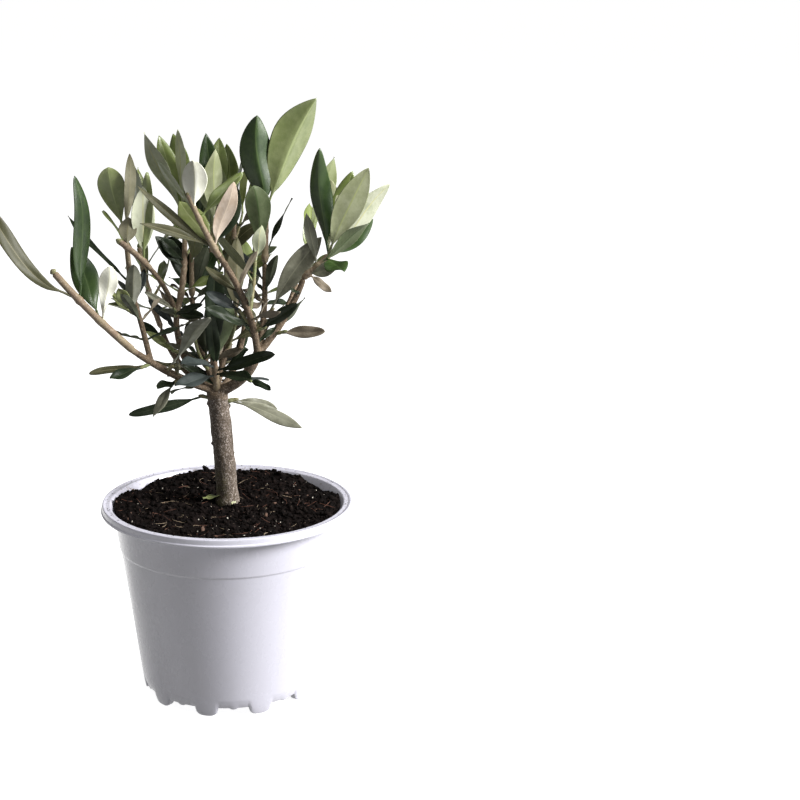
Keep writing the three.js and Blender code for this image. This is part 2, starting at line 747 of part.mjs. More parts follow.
// Grows a leaf where it is clear, turned a little if need be, and none where it never is.
// A named leaf keeps its place among the leaves of its own spray.
function growLeaf(spray, parent, at, wish, isNamed) {
  for (const [heading, rise] of TURNS) {
    const turned = { ...wish, heading: wish.heading + heading, rise: wish.rise + rise };
    const line = new LeafLine(parent.pointAt(at), turned);
    const points = line.testPoints();
    const crowded = isNamed
      ? touchesLeaf(points, NAMED_CLEARANCE, spray.name)
      : touchesLeaf(points, RULE_CLEARANCE, "");
    if (isHigh(points) && !crowded && !touchesLimb(points, parent)) {
      const middle = points[Math.floor(points.length / 2)];
      const reach = Math.max(...points.map((point) => point.distanceTo(middle)));
      placedLeaves.push({ owner: spray.name, points, middle, reach });
      grown.get(spray.name).leaves.push(line);
      return;
    }
  }
}

// The named leaves of every spray come first, so that they keep their places.
const grown = new Map(SPRAYS.map((spray) => [spray.name, { leaves: [], twigs: [] }]));
for (const spray of SPRAYS) {
  for (const wish of spray.leaves) growLeaf(spray, paths.get(spray.name), wish.at, wish, true);
}

// Two opposite leaves at one place on a stem.
function growPair(spray, draw, parent, at, heading, rise, size) {
  for (const turn of [0, 180]) {
    const long = size * (1 + spread(draw, RULE.lengthJitter));
    const wish = {
      heading: heading + turn + spread(draw, RULE.headingJitter),
      rise: rise + spread(draw, RULE.riseJitter),
      long,
      wide: long * RULE.slenderness,
      face: UP,
      twist: spread(draw, RULE.twistJitter),
      bend: RULE.bend + spread(draw, RULE.bendJitter),
      sides: 3,
    };
    growLeaf(spray, parent, at, wish, false);
  }
}

// A short side twig with two pairs of leaves, where it is clear.
function growTwig(spray, draw, parent, at, heading) {
  const path = new Path(parent.pointAt(at), {
    heading,
    rise: RULE.twigRise,
    turn: 0,
    lift: RULE.twigLift,
    length: RULE.twigLength,
  });
  const tested = path.points.slice(PATH_STEPS / 4);
  if (touchesLimb(tested, parent) || touchesLeaf(tested, RULE_CLEARANCE, "")) return;
  grown.get(spray.name).twigs.push(path);
  limbs.push({ path, radius: RULE.twigRadii[0] });
  const low = path.length * RULE.twigLowPlace;
  const lowRise = RULE.twigRise + RULE.twigLowRise;
  const tipHeading = heading + RULE.twigTipHeading;
  const tipRise = RULE.twigRise + RULE.twigTipRise;
  growPair(spray, draw, path, low, heading + RULE.crossing, lowRise, RULE.twigLeaf * RULE.twigLowSize);
  growPair(spray, draw, path, path.length, tipHeading, tipRise, RULE.twigLeaf);
}

// The place, from first to last, of one of several things along a stem.
function placeOf(index, count, first, last) {
  const share = count === 1 ? 0.5 : index / (count - 1);
  return first + (last - first) * share;
}

for (const spray of SPRAYS) {
  const draw = drawsFrom(spray.seed);
  const stem = paths.get(spray.name);
  const firstHeading = 360 * draw();
  for (let pair = 0; pair < spray.pairs; pair++) {
    const at = stem.length * placeOf(pair, spray.pairs, RULE.firstPair, RULE.lastPair);
    const rise = placeOf(pair, spray.pairs, RULE.lowRise, RULE.highRise);
    const size = placeOf(pair, spray.pairs, RULE.shortest, RULE.longest);
    growPair(spray, draw, stem, at, firstHeading + RULE.crossing * pair, rise, size);
  }
  for (let twig = 0; twig < spray.twigs; twig++) {
    const at = stem.length * placeOf(twig, spray.twigs, RULE.twigFirst, RULE.twigLast);
    const heading = firstHeading + RULE.twigOffset + RULE.twigTurn * twig;
    growTwig(spray, draw, stem, at, heading + spread(draw, RULE.headingJitter));
  }
}

// The pot and its soil

// The outside radius of the plain tapered wall at a height.
const wallRadius = (height) => POT.baseRadius + (POT.topRadius - POT.baseRadius) * (height / POT.height);

function potMesh() {
  const { height, lipRadius, lipDrop, mouthRadius, wall, shoulderTop, shoulderBottom, shoulderStep } = POT;
  const deck = POT.floorHeight + POT.floor;
  const corner = wallRadius(POT.straightFrom) - wall - POT.footSplay;
  const underside = [
    [0, POT.floorHeight],
    [POT.footRadius - POT.skirt, POT.floorHeight],
    [POT.footRadius - POT.skirt, 0],
    [POT.footRadius, 0],
  ];
  const wallOutside = [
    [wallRadius(POT.heelHeight) - POT.heelInset, POT.heelHeight],
    [wallRadius(POT.straightFrom), POT.straightFrom],
    [wallRadius(shoulderBottom), shoulderBottom - shoulderStep],
    [wallRadius(shoulderBottom) + shoulderStep, shoulderBottom],
    [wallRadius(shoulderTop) + shoulderStep, shoulderTop],
  ];
  const lip = [
    [lipRadius - POT.lipSlope, height - lipDrop],
    [lipRadius, height - lipDrop + POT.lipEdge],
    [lipRadius, height - POT.lipRounding],
    [lipRadius - POT.lipRounding, height - POT.lipRounding / 8],
    [lipRadius - POT.lipCrown, height],
    [mouthRadius + POT.mouthRounding, height - POT.lipRounding / 8],
  ];
  const inside = [
    [wallRadius(height - POT.mouthDepth) + shoulderStep - wall, height - POT.mouthDepth],
    [wallRadius(shoulderBottom) - wall, shoulderBottom],
    [corner, deck + POT.cornerRise],
    [corner - POT.cornerRun, deck],
    [0, deck],
  ];
  const profile = toPoints([...underside, ...wallOutside, ...lip, ...inside]);
  const shell = new THREE.LatheGeometry(profile, POT.segments).rotateX(Math.PI / 2);
  const arches = wasm.Manifold.union(archSolids());
  return meshOf("pot", solidOf(shell).subtract(arches), finish("pot"));
}

// The arches cut out of the skirt leave the feet standing, with a small nub in the middle of each arch.
function archSolids() {
  const { footHalfWidth, footHalfRoot, footSplay, archHeight, archRounding, nubHalfWidth } = POT;
  const halfPitch = (Math.PI * POT.footRadius) / POT.feet;
  const belowGround = -1;
  const halfOutline = [
    [halfPitch - footHalfWidth, belowGround],
    [halfPitch - footHalfWidth - footSplay, POT.footSplayHeight],
    [halfPitch - footHalfRoot + archRounding, archHeight - archRounding],
    [halfPitch - footHalfRoot - archRounding, archHeight],
    [nubHalfWidth, archHeight],
    [nubHalfWidth / 2, archHeight - POT.nubDrop],
  ];
  const mirrored = halfOutline.map(([across, z]) => [-across, z]).reverse();
  const outline = new THREE.Shape(toPoints([...halfOutline, ...mirrored]));
  const depth = 4 * POT.skirt;
  return Array.from({ length: POT.feet }, (_, i) => {
    const arch = new THREE.ExtrudeGeometry(outline, { depth, bevelEnabled: false });
    arch.rotateX(Math.PI / 2);
    arch.translate(0, depth / 2 - POT.footRadius, 0);
    arch.rotateZ(radians(POT.firstFootHeading + 90 + (360 / POT.feet) * (i + 0.5)));
    return solidOf(arch);
  });
}

// The soil keeps a small gap to the wall and to the floor all round.
function soilMesh() {
  const inner = (z) => wallRadius(z) - POT.wall - GAP;
  const edge = POT.height - SOIL.edge;
  const top = POT.height - SOIL.crown;
  const bottom = POT.floorHeight + POT.floor + GAP;
  const corner = inner(POT.straightFrom) - POT.footSplay;
  const profile = toPoints([
    [0, bottom],
    [corner - POT.cornerRun, bottom],
    [corner, bottom + POT.cornerRise],
    [inner(POT.shoulderBottom), POT.shoulderBottom],
    [inner(edge), edge],
    [inner(edge) - SOIL.rimWidth, edge + SOIL.rimRise],
    [SOIL.slopeRadius, edge + SOIL.slopeRise],
    [SOIL.flatRadius, top],
    [0, top],
  ]);
  const body = new THREE.LatheGeometry(profile, SOIL.segments).rotateX(Math.PI / 2);
  return meshOf("soil", solidOf(body), finish("soil"));
}

// The woody frame and the sprays. Each limb is cut clear of those before it.

const cutters = []; // fattened limbs, for the cuts
const clearOf = (solid) => (cutters.length ? solid.subtract(wasm.Manifold.union(cutters)) : solid);

// A limb's own solid, which is then also cut out of whatever grows later, with a small gap.
function growLimb(name, facets, extras = []) {
  const path = paths.get(name);
  const law = radiusLaws.get(name);
  const whole = wasm.Manifold.union([limbSolid(path, law, ...facets), ...extras]);
  const solid = clearOf(whole);
  cutters.push(limbSolid(path, law, ...facets, GAP, GAP));
  return solid;
}

function trunkMesh(bark) {
  const solid = growLimb("trunk", FACETS.trunk);
  return meshOf("trunk", solid.trimByPlane([0, 0, 1], TRUNK.foot.z + FLAT_CUT), bark);
}

function sprayMesh(spray, look) {
  const { leaves, twigs } = grown.get(spray.name);
  const twigSolids = twigs.map((path) => limbSolid(path, taper(RULE.twigRadii), ...FACETS.twig));
  const blades = leaves.map((line) => line.solid());
  return meshOf(spray.name, growLimb(spray.name, FACETS.stem, [...twigSolids, ...blades]), look);
}

const tree = new THREE.Group();
const bark = finish("bark");
const foliage = finish("foliage");
tree.add(potMesh(), soilMesh(), trunkMesh(bark));
for (const { name } of BOUGHS) tree.add(meshOf(name, growLimb(name, FACETS.bough), bark));
for (const spray of SPRAYS) tree.add(sprayMesh(spray, foliage));

// The origin is under the middle of the whole plant, on the level that the feet stand on.
const bounds = new THREE.Box3().setFromObject(tree);
const middle = bounds.getCenter(new THREE.Vector3());
tree.position.set(-middle.x, -middle.y, -bounds.min.z);

const part = new THREE.Group();
part.add(tree);

export default part;
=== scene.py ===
"""A young olive tree in a white plastic nursery pot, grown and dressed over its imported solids.

Sizes are in millimetres from the pot's axis, on the level that the pot stands on, with +Z up, +X to the
right and +Y to the back. A heading is a compass angle seen from above, 0 to the right and 90 to the back.
A rise is an angle above the level. Both are in degrees. Finished meshes are in metres, in the solids' frame.
"""

import json
import logging
import math
from dataclasses import dataclass, field, replace
from enum import Enum
from functools import partial
from typing import Callable, Optional, Sequence

import bmesh
import bpy
import numpy as np
from mathutils import Matrix, Quaternion, Vector, kdtree, noise

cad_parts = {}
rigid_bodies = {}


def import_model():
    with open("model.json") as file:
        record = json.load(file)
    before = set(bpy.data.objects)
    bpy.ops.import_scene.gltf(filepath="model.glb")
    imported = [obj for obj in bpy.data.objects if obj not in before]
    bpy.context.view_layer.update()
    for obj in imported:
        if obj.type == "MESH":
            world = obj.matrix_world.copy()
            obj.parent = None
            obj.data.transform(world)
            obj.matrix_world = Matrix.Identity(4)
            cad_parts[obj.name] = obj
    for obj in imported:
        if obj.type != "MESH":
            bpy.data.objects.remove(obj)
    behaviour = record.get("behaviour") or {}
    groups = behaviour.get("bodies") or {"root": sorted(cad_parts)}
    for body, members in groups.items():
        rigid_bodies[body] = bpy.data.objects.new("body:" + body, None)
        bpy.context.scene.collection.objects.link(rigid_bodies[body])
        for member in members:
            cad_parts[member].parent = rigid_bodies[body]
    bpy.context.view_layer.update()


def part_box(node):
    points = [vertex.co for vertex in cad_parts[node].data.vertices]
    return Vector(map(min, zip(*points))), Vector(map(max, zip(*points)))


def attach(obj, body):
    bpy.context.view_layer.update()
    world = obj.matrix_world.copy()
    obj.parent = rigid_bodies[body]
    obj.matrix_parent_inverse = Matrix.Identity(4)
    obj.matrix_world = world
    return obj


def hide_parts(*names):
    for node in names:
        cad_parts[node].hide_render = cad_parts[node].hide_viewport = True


LOG = logging.getLogger("potted_olive")
MM = 0.001

Pair = tuple[float, float]
Triple = tuple[float, float, float]
Shape = Callable[[Vector], Vector]
Radius = Callable[[float], float]
BMesh = bmesh.types.BMesh
Material = bpy.types.Material
Socket = bpy.types.NodeSocket


class Tone(Enum):
    """The looks of a leaf, from the sheen and side that it shows, with painted light in the pale and silver
    tones.
    """

    DARK = "dark"
    BLUE = "blue"
    GREEN = "green"
    OLIVE = "olive"
    GREY = "grey"
    PALE = "pale"
    BEIGE = "beige"
    BROWN = "brown"
    WHITE = "white"
    DEEP = "deep"
    MOSS = "moss"


class Form(Enum):
    """A leaf's form: how far past its middle it is widest, how full it is, and how deeply it folds."""

    LANCE = (1.12, 0.8, 0.18)
    OVAL = (1.0, 0.62, 0.18)
    SPOON = (1.75, 0.64, 0.18)
    STRAP = (1.12, 0.55, 0.36)
    KEEL = (1.12, 0.8, 0.75)
    RIDGE = (1.0, 0.7, -0.5)


DARK, BLUE, GREEN, OLIVE, GREY, PALE, BEIGE, BROWN, WHITE, DEEP, MOSS = Tone


# Plan of the tree: the same named sizes as the solids


@dataclass(frozen=True)
class Limb:
    """A limb that leaves its parent `at` millimetres along it, and turns and lifts evenly."""

    name: str
    parent: str
    at: float
    heading: float
    rise: float
    turn: float
    lift: float
    length: float
    radii: Pair = (1, 1)


@dataclass(frozen=True)
class Leaf:
    """One leaf: where it sits, where it points, its size, and how its blade faces, bends and twists."""

    form: Form
    tone: Tone
    at: float
    heading: float
    rise: float
    long: float
    wide: float
    face: Optional[float] = None
    bend: float = 0
    bow: float = 0
    twist: float = 0


lance, oval, spoon, strap, keel, ridge = (partial(Leaf, form) for form in Form)


@dataclass(frozen=True)
class Added:
    """What the seeded rule adds to a spray: leaves of a tone, so many pairs of them, and twigs."""

    tone: Tone = DARK
    seed: int = 1
    pairs: int = 0
    twigs: int = 0


@dataclass(frozen=True)
class Spray(Limb):
    """A stem that carries leaves: what the rule adds to it, and its named leaves."""

    added: Added = Added()
    leaves: tuple[Leaf, ...] = ()


@dataclass(frozen=True)
class PotSizes:
    """Sizes of the pot, which the soil and the trunk share."""

    height: float = 101.5
    top_radius: float = 58.5
    base_radius: float = 44.6
    wall: float = 1.4
    lip_radius: float = 65
    lip_drop: float = 4.2
    lip_slope: float = 1.8
    lip_crown: float = 2.6
    mouth_radius: float = 59
    mouth_depth: float = 6
    mouth_lip: float = 2.2
    shoulder_top: float = 97
    shoulder_bottom: float = 79
    shoulder_step: float = 0.6
    straight_from: float = 9
    heel_height: float = 4
    foot_radius: float = 43.8
    skirt: float = 2.6
    floor_height: float = 4.6
    floor: float = 1.8
    corner_rise: float = 2
    feet: int = 10
    first_foot_heading: float = 254
    arch_height: float = 4.5
    nub_half_width: float = 2.6
    nub_drop: float = 0.8
    soil_edge: float = 4.5
    soil_crown: float = 2.9
    soil_flat_radius: float = 17

    def wall_radius(self, height: float) -> float:
        """Outside radius of the plain tapered wall at a height."""
        return self.base_radius + (self.top_radius - self.base_radius) * height / self.height

    def inner_radius(self, height: float) -> float:
        """Inside radius near the mouth, where the wall widens into the lip."""
        neck = self.height - self.mouth_depth
        straight = self.wall_radius(neck) + self.shoulder_step - self.wall
        share = min(max((height - neck) / (self.mouth_depth - self.mouth_lip), 0), 1)
        return straight + (self.mouth_radius - straight) * share


POT = PotSizes()
GAP = 0.3
FLAT_CUT = 0.6


@dataclass(frozen=True)
class TrunkSizes:
    """Sizes of the trunk, from the flat cut at the soil to the fork."""

    foot: Triple = (0, 6, POT.height - POT.soil_crown + GAP - FLAT_CUT)
    foot_radius: float = 5.5
    flare_radius: float = 6.3
    flare_height: float = 5
    head_radius: float = 5.4

    def radius(self, share: float) -> float:
        """The trunk's radius at a share of its length."""
        height = share * TRUNK.length
        flare = (self.flare_radius - self.foot_radius) * math.exp(-height / self.flare_height)
        return self.foot_radius + (self.head_radius - self.foot_radius) * height / TRUNK.length + flare


TRUNK_SIZES = TrunkSizes()
TRUNK = Limb("trunk", "", 0, 201, 87, 18, -5, 62.5)

# After its name and parent come a limb's at, heading, rise, turn, lift, length and radii.
BOUGHS: tuple[Limb, ...] = (
    Limb("bough_left", "trunk", 60.5, 207, 22, -1, 16, 52, (2.6, 1.9)),
    Limb("bough_left_riser", "bough_left", 41, 132, 72, -10, -14, 38, (1.8, 1.5)),
    Limb("bough_mid_left", "trunk", 61, 157, 20, -28, 76, 48, (2.3, 1.8)),
    Limb("bough_mid_stub", "bough_mid_left", 47, 244, 63, -29, -17, 35, (1.7, 1.5)),
    Limb("bough_centre_left", "trunk", 61.5, 113, 35, 12, 49, 53, (2.1, 1.6)),
    Limb("bough_centre", "trunk", 61.5, 76, 41, -32, 43, 62, (2.1, 1.6)),
    Limb("bough_right", "trunk", 60.5, 337, 16, 0, 56, 33, (3.3, 2.7)),
    Limb("bough_leader", "bough_right", 32.5, 256, 68, -52, -14, 63, (2.2, 1.7)),
    Limb("bough_upright", "bough_right", 32.5, 69, 48, 17, 42, 48, (2, 1.7)),
    Limb("bough_right_outer", "bough_right", 32, 30, 42, -39, 30, 46, (2.4, 1.7)),
    Limb("bough_back_left", "trunk", 60, 146, 12, -6, 56, 48, (2.2, 1.6)),
    Limb("bough_back", "trunk", 60, 96, 14, -4, 60, 50, (2.2, 1.6)),
    Limb("bough_back_right", "trunk", 60, 60, 12, 14, 58, 52, (2.2, 1.6)),
    Limb("bough_back_outer", "bough_right_outer", 14, 66, 30, -24, 34, 32, (1.8, 1.4)),
)

# A leaf's numbers are at, heading, rise, long and wide, and then face, bend and bow where it has them.
NONE = Added()
# Named leaves with the pale and the silver tones carry painted light: painted glare on lit leaves, and a
# paler colour on some leaves in shade.
SPRAYS: tuple[Spray, ...] = (
    Spray("spray_left_tip", "bough_left", 52, 204, 43, -13, 9, 57, (1.9, 1.7), NONE, (
        lance(MOSS, 39, 190, 50, 68, 9, 290, 0, 54),
        oval(DEEP, 38, 85, 85, 60, 11, 320, 6, -26),
        lance(DEEP, 24, 145, 65, 38, 13, 285, 4, -14),
        spoon(WHITE, 22, 310, 75, 30, 9, 100, 8),
    )),
    Spray("spray_left_riser", "bough_left_riser", 38, 103, 72, 10, 1, 29, (1.5, 1.2), NONE, (
        spoon(GREEN, 29, 150, 75, 33, 14, 90, -6, -16),
        lance(MOSS, 29, 60, 80, 39, 7, 120, 16),
        lance(DARK, 3, 160, 45, 46, 8, None, 10),
    )),
    Spray("spur_left_riser", "bough_left_riser", 24, 210, 30, 0, 0, 7, (0.9, 0.8), NONE, (
        strap(GREY, 4, 290, 80, 25, 9, 90, 8),
        strap(OLIVE, 4, 140, 30, 18, 8, None),
        strap(OLIVE, 4, 150, 10, 16, 8, None, -12),
        strap(OLIVE, 4, 215, 60, 15, 8, 240, -8),
    )),
    Spray("spray_mid_stub", "bough_mid_stub", 35, 215, 46, -16, -9, 20, (1.5, 1.5), NONE, (
        lance(PALE, 3, 85, 85, 37, 12, 100, -8),
        lance(GREEN, 3, 65, 80, 44, 9, 60, 8),
        lance(MOSS, 15, 85, 60, 16, 9, 90),
    )),
    Spray("spray_mid_left", "bough_mid_left", 48, 45, 66, 56, 21, 50, (1.6, 1.2), Added(GREEN, 41, 2, 1), (
        lance(PALE, 50, 190, 65, 47, 11, 60, -12, -14),
        oval(PALE, 47, 115, 85, 47, 11, 30, 5),
        lance(GREEN, 50, 145, 70, 43, 11, 280, 4),
        lance(OLIVE, 50, 0, 85, 27, 8, 200, 6),
        lance(DARK, 23, 195, 50, 23, 9, 300, -14, -10),
        lance(DARK, 27, 210, 45, 18, 8, 290, -6),
    )),
    Spray("spur_mid_left", "bough_mid_left", 46, 262, 42, 0, 0, 8, (1, 0.8), NONE, (
        strap(DARK, 4, 245, 15, 17, 8, 240),
        strap(DARK, 4, 315, 20, 21, 5, 280),
        strap(DARK, 4, 325, 0, 18, 7, 290),
        strap(GREY, 7, 205, 35, 19, 4, 280),
    )),
    Spray("spur_mid_left_low", "bough_mid_left", 27, 225, 20, 0, 0, 7, (0.9, 0.8), NONE, (
        strap(OLIVE, 4, 215, 35, 22, 5, 250),
    )),
    Spray(
        "spray_centre_left", "bough_centre_left", 53, 91, 82, 0, 0, 29, (1.5, 1.1),
        Added(DEEP, 53, 3, 1), (
        strap(DARK, 3, 160, 65, 30, 13, 280, 8, -12),
        strap(DARK, 3, 35, 65, 24, 10, 100, 6),
        strap(DEEP, 3, 40, 50, 24, 9, 280, 6),
    )),
    Spray("spur_centre_left", "bough_centre_left", 20, 290, 20, 0, 0, 8, (1, 0.8), NONE, (
        strap(DARK, 8, 70, 75, 30, 10, 290, 6),
        strap(DARK, 4, 245, 65, 16, 8, 90, 4),
    )),
    Spray("spray_mid_low", "bough_centre_left", 12, 215, 50, 0, 30, 20, (1, 0.8), Added(DARK, 60, 2)),
    Spray("spray_centre", "bough_centre", 62, 137, 76, -63, 3, 32, (1.5, 1.1), Added(DEEP, 61, 2, 1), (
        lance(GREEN, 32, 125, 80, 37, 10, 250, 4),
    )),
    Spray("spray_centre_side", "bough_centre", 56, 195, 60, 0, 16, 36, (1.3, 0.9), Added(OLIVE, 67, 2), (
        lance(GREEN, 36, 295, 85, 34, 16, 90, -4),
        lance(DEEP, 36, 115, 85, 47, 11, 290, 4),
        lance(GREEN, 36, 55, 80, 45, 12, 270, 4),
    )),
    Spray("spray_centre_low", "bough_centre", 24, 300, 50, 0, 20, 22, (1.2, 0.9), Added(MOSS, 68, 2)),
    Spray("spray_leader", "bough_leader", 63, 217, 58, -23, 10, 33, (1.6, 1.1), Added(GREEN, 71, 1), (
        oval(WHITE, 25, 270, 70, 25, 12, 90, -10, 10),
        oval(BEIGE, 3, 330, 70, 34, 9, 100, -6),
        lance(DARK, 3, 25, 65, 31, 12, 270, 6),
        lance(MOSS, 3, 195, 20, 38, 5, 280, 0, -14),
        lance(MOSS, 3, 185, 40, 47, 5, 280, 0, 10),
        lance(OLIVE, 3, 155, 50, 28, 12, 270, -6),
    )),
    Spray("spur_leader", "bough_leader", 14, 205, 55, 0, 0, 14, (0.9, 0.8), NONE, (
        strap(DARK, 3, 210, 25, 29, 7, 230, -10),
        strap(BLUE, 14, 200, 30, 20, 7, 240, -16),
    )),
    Spray("spur_leader_right", "bough_leader", 14, 330, 20, 0, 0, 6, (0.9, 0.8), NONE, (
        strap(DARK, 4, 330, 35, 26, 7, 300, -6),
    )),
    Spray("spray_leader_side", "bough_leader", 24, 60, 70, 0, 12, 27, (1.1, 0.8), Added(OLIVE, 79, 1), (
        lance(PALE, 27, 310, 75, 19, 7, 100, 6),
    )),
    Spray("spray_upright", "bough_upright", 48, 57, 86, 0, 0, 27, (1.7, 1.1), Added(OLIVE, 83, 1), (
        keel(GREEN, 27, 10, 65, 61, 21, 100, -4, -10),
        ridge(DEEP, 25, 180, 85, 49, 17, 270, -4, 14),
        spoon(DEEP, 3, 210, 80, 37, 13, 90, 6),
        lance(DARK, 3, 30, 60, 33, 7, 190, -8),
    )),
    Spray("spur_upright", "bough_upright", 20, 330, 40, 0, 0, 7, (1, 0.8), NONE, (
        lance(GREY, 5, 5, 55, 46, 12, 300, 6, 16),
    )),
    Spray("spray_right_outer", "bough_right_outer", 46, 3, 41, -3, 1, 17, (1.7, 1.3), Added(GREEN, 89, 1), (
        ridge(DEEP, 17, 180, 85, 54, 11, 250, 8, 18),
        lance(GREEN, 17, 35, 70, 44, 12, 270, 4),
        lance(PALE, 17, 80, 70, 38, 10, 250, 4),
        lance(OLIVE, 16, 340, 65, 50, 15, 90, 8, -12),
        lance(PALE, 17, 5, 50, 47, 12, 90, 6),
        lance(DEEP, 17, 20, 35, 30, 9, 300, 6, -24),
        lance(GREY, 3, 330, 15, 17, 8, 280),
        lance(DEEP, 15, 290, -10, 22, 12, 280, -10),
        lance(BROWN, 3, 340, -35, 15, 5, 290),
        lance(GREY, 9, 130, 70, 27, 6, 90, -6),
    )),
    Spray("spur_right_outer", "bough_right_outer", 13, 330, 20, 0, 0, 7, (0.9, 0.8), NONE, (
        strap(BROWN, 4, 340, 5, 24, 8, 290, 6),
    )),
    Spray("spur_left_front", "bough_left", 31, 300, 30, 0, 0, 7, (1, 0.8), NONE, (
        spoon(GREY, 4, 310, 45, 45, 9, 100, -20),
    )),
    Spray("spur_right", "bough_right", 18, 290, -4, 0, 0, 9, (1, 0.8), NONE, (
        strap(DARK, 7, 25, 35, 13, 8, 280),
        strap(DARK, 7, 320, -10, 14, 5, 290, -6),
    )),
    Spray("spray_front", "trunk", 59.5, 268, 52, -10, 26, 26, (1.9, 1.2), Added(DARK, 101, 2), (
        strap(BLUE, 13, 230, 0, 31, 9, 250, -8),
        strap(DARK, 14, 305, 5, 31, 9, 290, -8),
        strap(DARK, 16, 325, 20, 38, 8, 300, 8),
        strap(BLUE, 18, 220, 20, 33, 9, 250, -10),
        strap(DARK, 16, 265, 65, 34, 8, 270, -6),
        strap(DEEP, 21, 40, 75, 34, 14, 90, -4),
    )),
    Spray("spur_left_low", "bough_left", 40, 214, -12, 0, 0, 7, (0.9, 0.8), NONE, (
        strap(MOSS, 4, 190, -5, 28, 5, 265, -6),
        strap(DARK, 7, 225, -5, 20, 7, 250),
    )),
    Spray("spur_left_inner", "bough_left", 22, 226, -18, 0, 0, 7, (0.9, 0.8), NONE, (
        strap(DARK, 4, 235, 0, 15, 7, 250),
        strap(GREY, 5, 225, -45, 21, 7, 230, -8),
    )),
    Spray("spur_trunk_left", "trunk", 56, 188, 16, 0, 0, 9, (1.2, 0.9), NONE, (
        strap(DARK, 8, 195, -10, 39, 7, 250, -8, 10),
    )),
    Spray("spur_trunk_right", "trunk", 54, 356, 14, 0, 0, 9, (1.2, 0.9), NONE, (
        lance(GREY, 7, 15, -15, 26, 5, 290, 0, 20),
        lance(GREY, 6, 350, -20, 40, 7, 290, -4, 14),
    )),
    Spray(
        "spray_back_left", "bough_back_left", 48, 138, 62, -10, 14, 44, (1.5, 1.1),
        Added(GREEN, 137, 4, 2),
    ),
    Spray("spray_back", "bough_back", 50, 92, 66, -14, 12, 46, (1.5, 1.1), Added(GREEN, 139, 5, 2)),
    Spray(
        "spray_back_right", "bough_back_right", 52, 58, 64, 16, 12, 42, (1.5, 1.1),
        Added(GREEN, 173, 4, 2),
    ),
    Spray("spray_back_outer", "bough_back_outer", 32, 40, 60, 0, 14, 24, (1.4, 1.1), Added(GREEN, 167, 3)),
    Spray("spray_skirt_back", "trunk", 57, 92, 16, 0, 40, 20, (1.3, 0.9), NONE, (
        strap(DARK, 12, 170, 5, 30, 11, None, -10),
        strap(BLUE, 13, 30, 0, 32, 11, None, -10),
        strap(DARK, 18, 130, 10, 34, 11, None, -12),
        strap(DARK, 19, 60, 10, 33, 11, None, -12),
        strap(DARK, 16, 95, -10, 28, 10, None, -14),
    )),
)


@dataclass(frozen=True)
class GrowthRule:
    """What the seeded rule adds to a spray: crossed pairs along the stem, and twigs with two pairs."""

    places: Pair = (0.22, 0.96)
    rises: Pair = (24, 74)
    sizes: Pair = (24, 44)
    rise_jitter: float = 16
    heading_jitter: float = 34
    length_jitter: float = 0.16
    slenderness: float = 0.27
    bend: float = -6
    bend_jitter: float = 22
    twist_jitter: float = 130
    crossing: float = 90
    twig_places: Pair = (0.35, 0.8)
    twig_offset: float = 45
    twig_turn: float = 140
    twig_length: float = 17
    twig_rise: float = 46
    twig_lift: float = 20
    twig_radii: Pair = (0.8, 0.6)
    twig_leaf: float = 25
    twig_tip_heading: float = 20
    twig_tip_rise: float = 20
    twig_low_place: float = 0.55
    twig_low_size: float = 0.8
    twig_low_rise: float = -10


@dataclass(frozen=True)
class InnerLeaves:
    """Small leaves along part of a bough, finer than the solids: their pairs, lengths and rises."""

    bough: str
    places: Pair
    pairs: int
    seed: int
    lengths: Pair = (13, 25)
    rises: Pair = (-5, 65)
    slenderness: float = 0.25


RULE = GrowthRule()
LOWER_TONES = (DARK, BLUE, MOSS, DARK, BROWN, DARK)
UPPER_TONES = (DEEP, GREEN, OLIVE, MOSS, DEEP, OLIVE)
INNER_LEAVES = (
    InnerLeaves("bough_mid_left", (0.15, 0.95), 9, 811),
    InnerLeaves("bough_centre_left", (0.15, 0.95), 9, 823),
    InnerLeaves("bough_centre", (0.15, 0.95), 8, 853),
    InnerLeaves("bough_leader", (0.1, 0.65), 8, 859),
    InnerLeaves("bough_left", (0.2, 0.45), 4, 857, (10, 19)),
    InnerLeaves("bough_left_riser", (0.3, 0.8), 3, 863),
    InnerLeaves("bough_upright", (0.2, 0.8), 6, 877),
    InnerLeaves("bough_right_outer", (0.3, 0.8), 2, 881),
    InnerLeaves("bough_back_left", (0.2, 0.8), 3, 883),
    InnerLeaves("bough_back", (0.2, 0.8), 3, 887),
    InnerLeaves("bough_back_right", (0.2, 0.8), 3, 907),
)
TURNS = (
    (0, 0), (6, 0), (-6, 0), (0, 7), (0, -7), (13, 4), (-13, 4), (20, -5), (-20, -5), (30, 8), (-30, 8),
)
NAMED_CLEARANCE = 2.6
RULE_CLEARANCE = 2.2
LIMB_CLEARANCE = 1.2
STATION_SLACK = 0.4
LEVEL_CLEARANCE = 4
FACE_RISE = 30
STRAIGHT = 0.1
PETIOLE_SHARE = 0.13
OUTLINE_SKEW = 1.12
OUTLINE_FULLNESS = 0.8
TIP_HALF = 0.25
TEST_STATIONS = 12
TEST_FIRST = 3
TEST_ACROSS = (-1, -0.5, 0, 0.5, 1)
PATH_STEPS = 16
DRAW_FACTOR = 48271
DRAW_RANGE = 2147483647
UP = Vector((0, 0, 1))


# Paths, leaf lines and growth, by the same rule as the solids


def aim(heading: float, rise: float) -> Vector:
    """The unit vector with this heading and rise."""
    turn, tilt = math.radians(heading), math.radians(rise)
    return Vector((math.cos(tilt) * math.cos(turn), math.cos(tilt) * math.sin(turn), math.sin(tilt)))


def heading_of(place: Vector) -> float:
    """The heading of a place, seen from the pot's axis."""
    return math.degrees(math.atan2(place.y, place.x))


def turned(vector: Vector, axis: Vector, angle: float) -> Vector:
    """The vector turned about an axis by an angle in radians."""
    return Quaternion(axis, angle) @ vector


def squared(vector: Vector, axis: Vector) -> Vector:
    """The part of a vector that is square to a unit axis, made one long."""
    return (vector - axis * vector.dot(axis)).normalized()


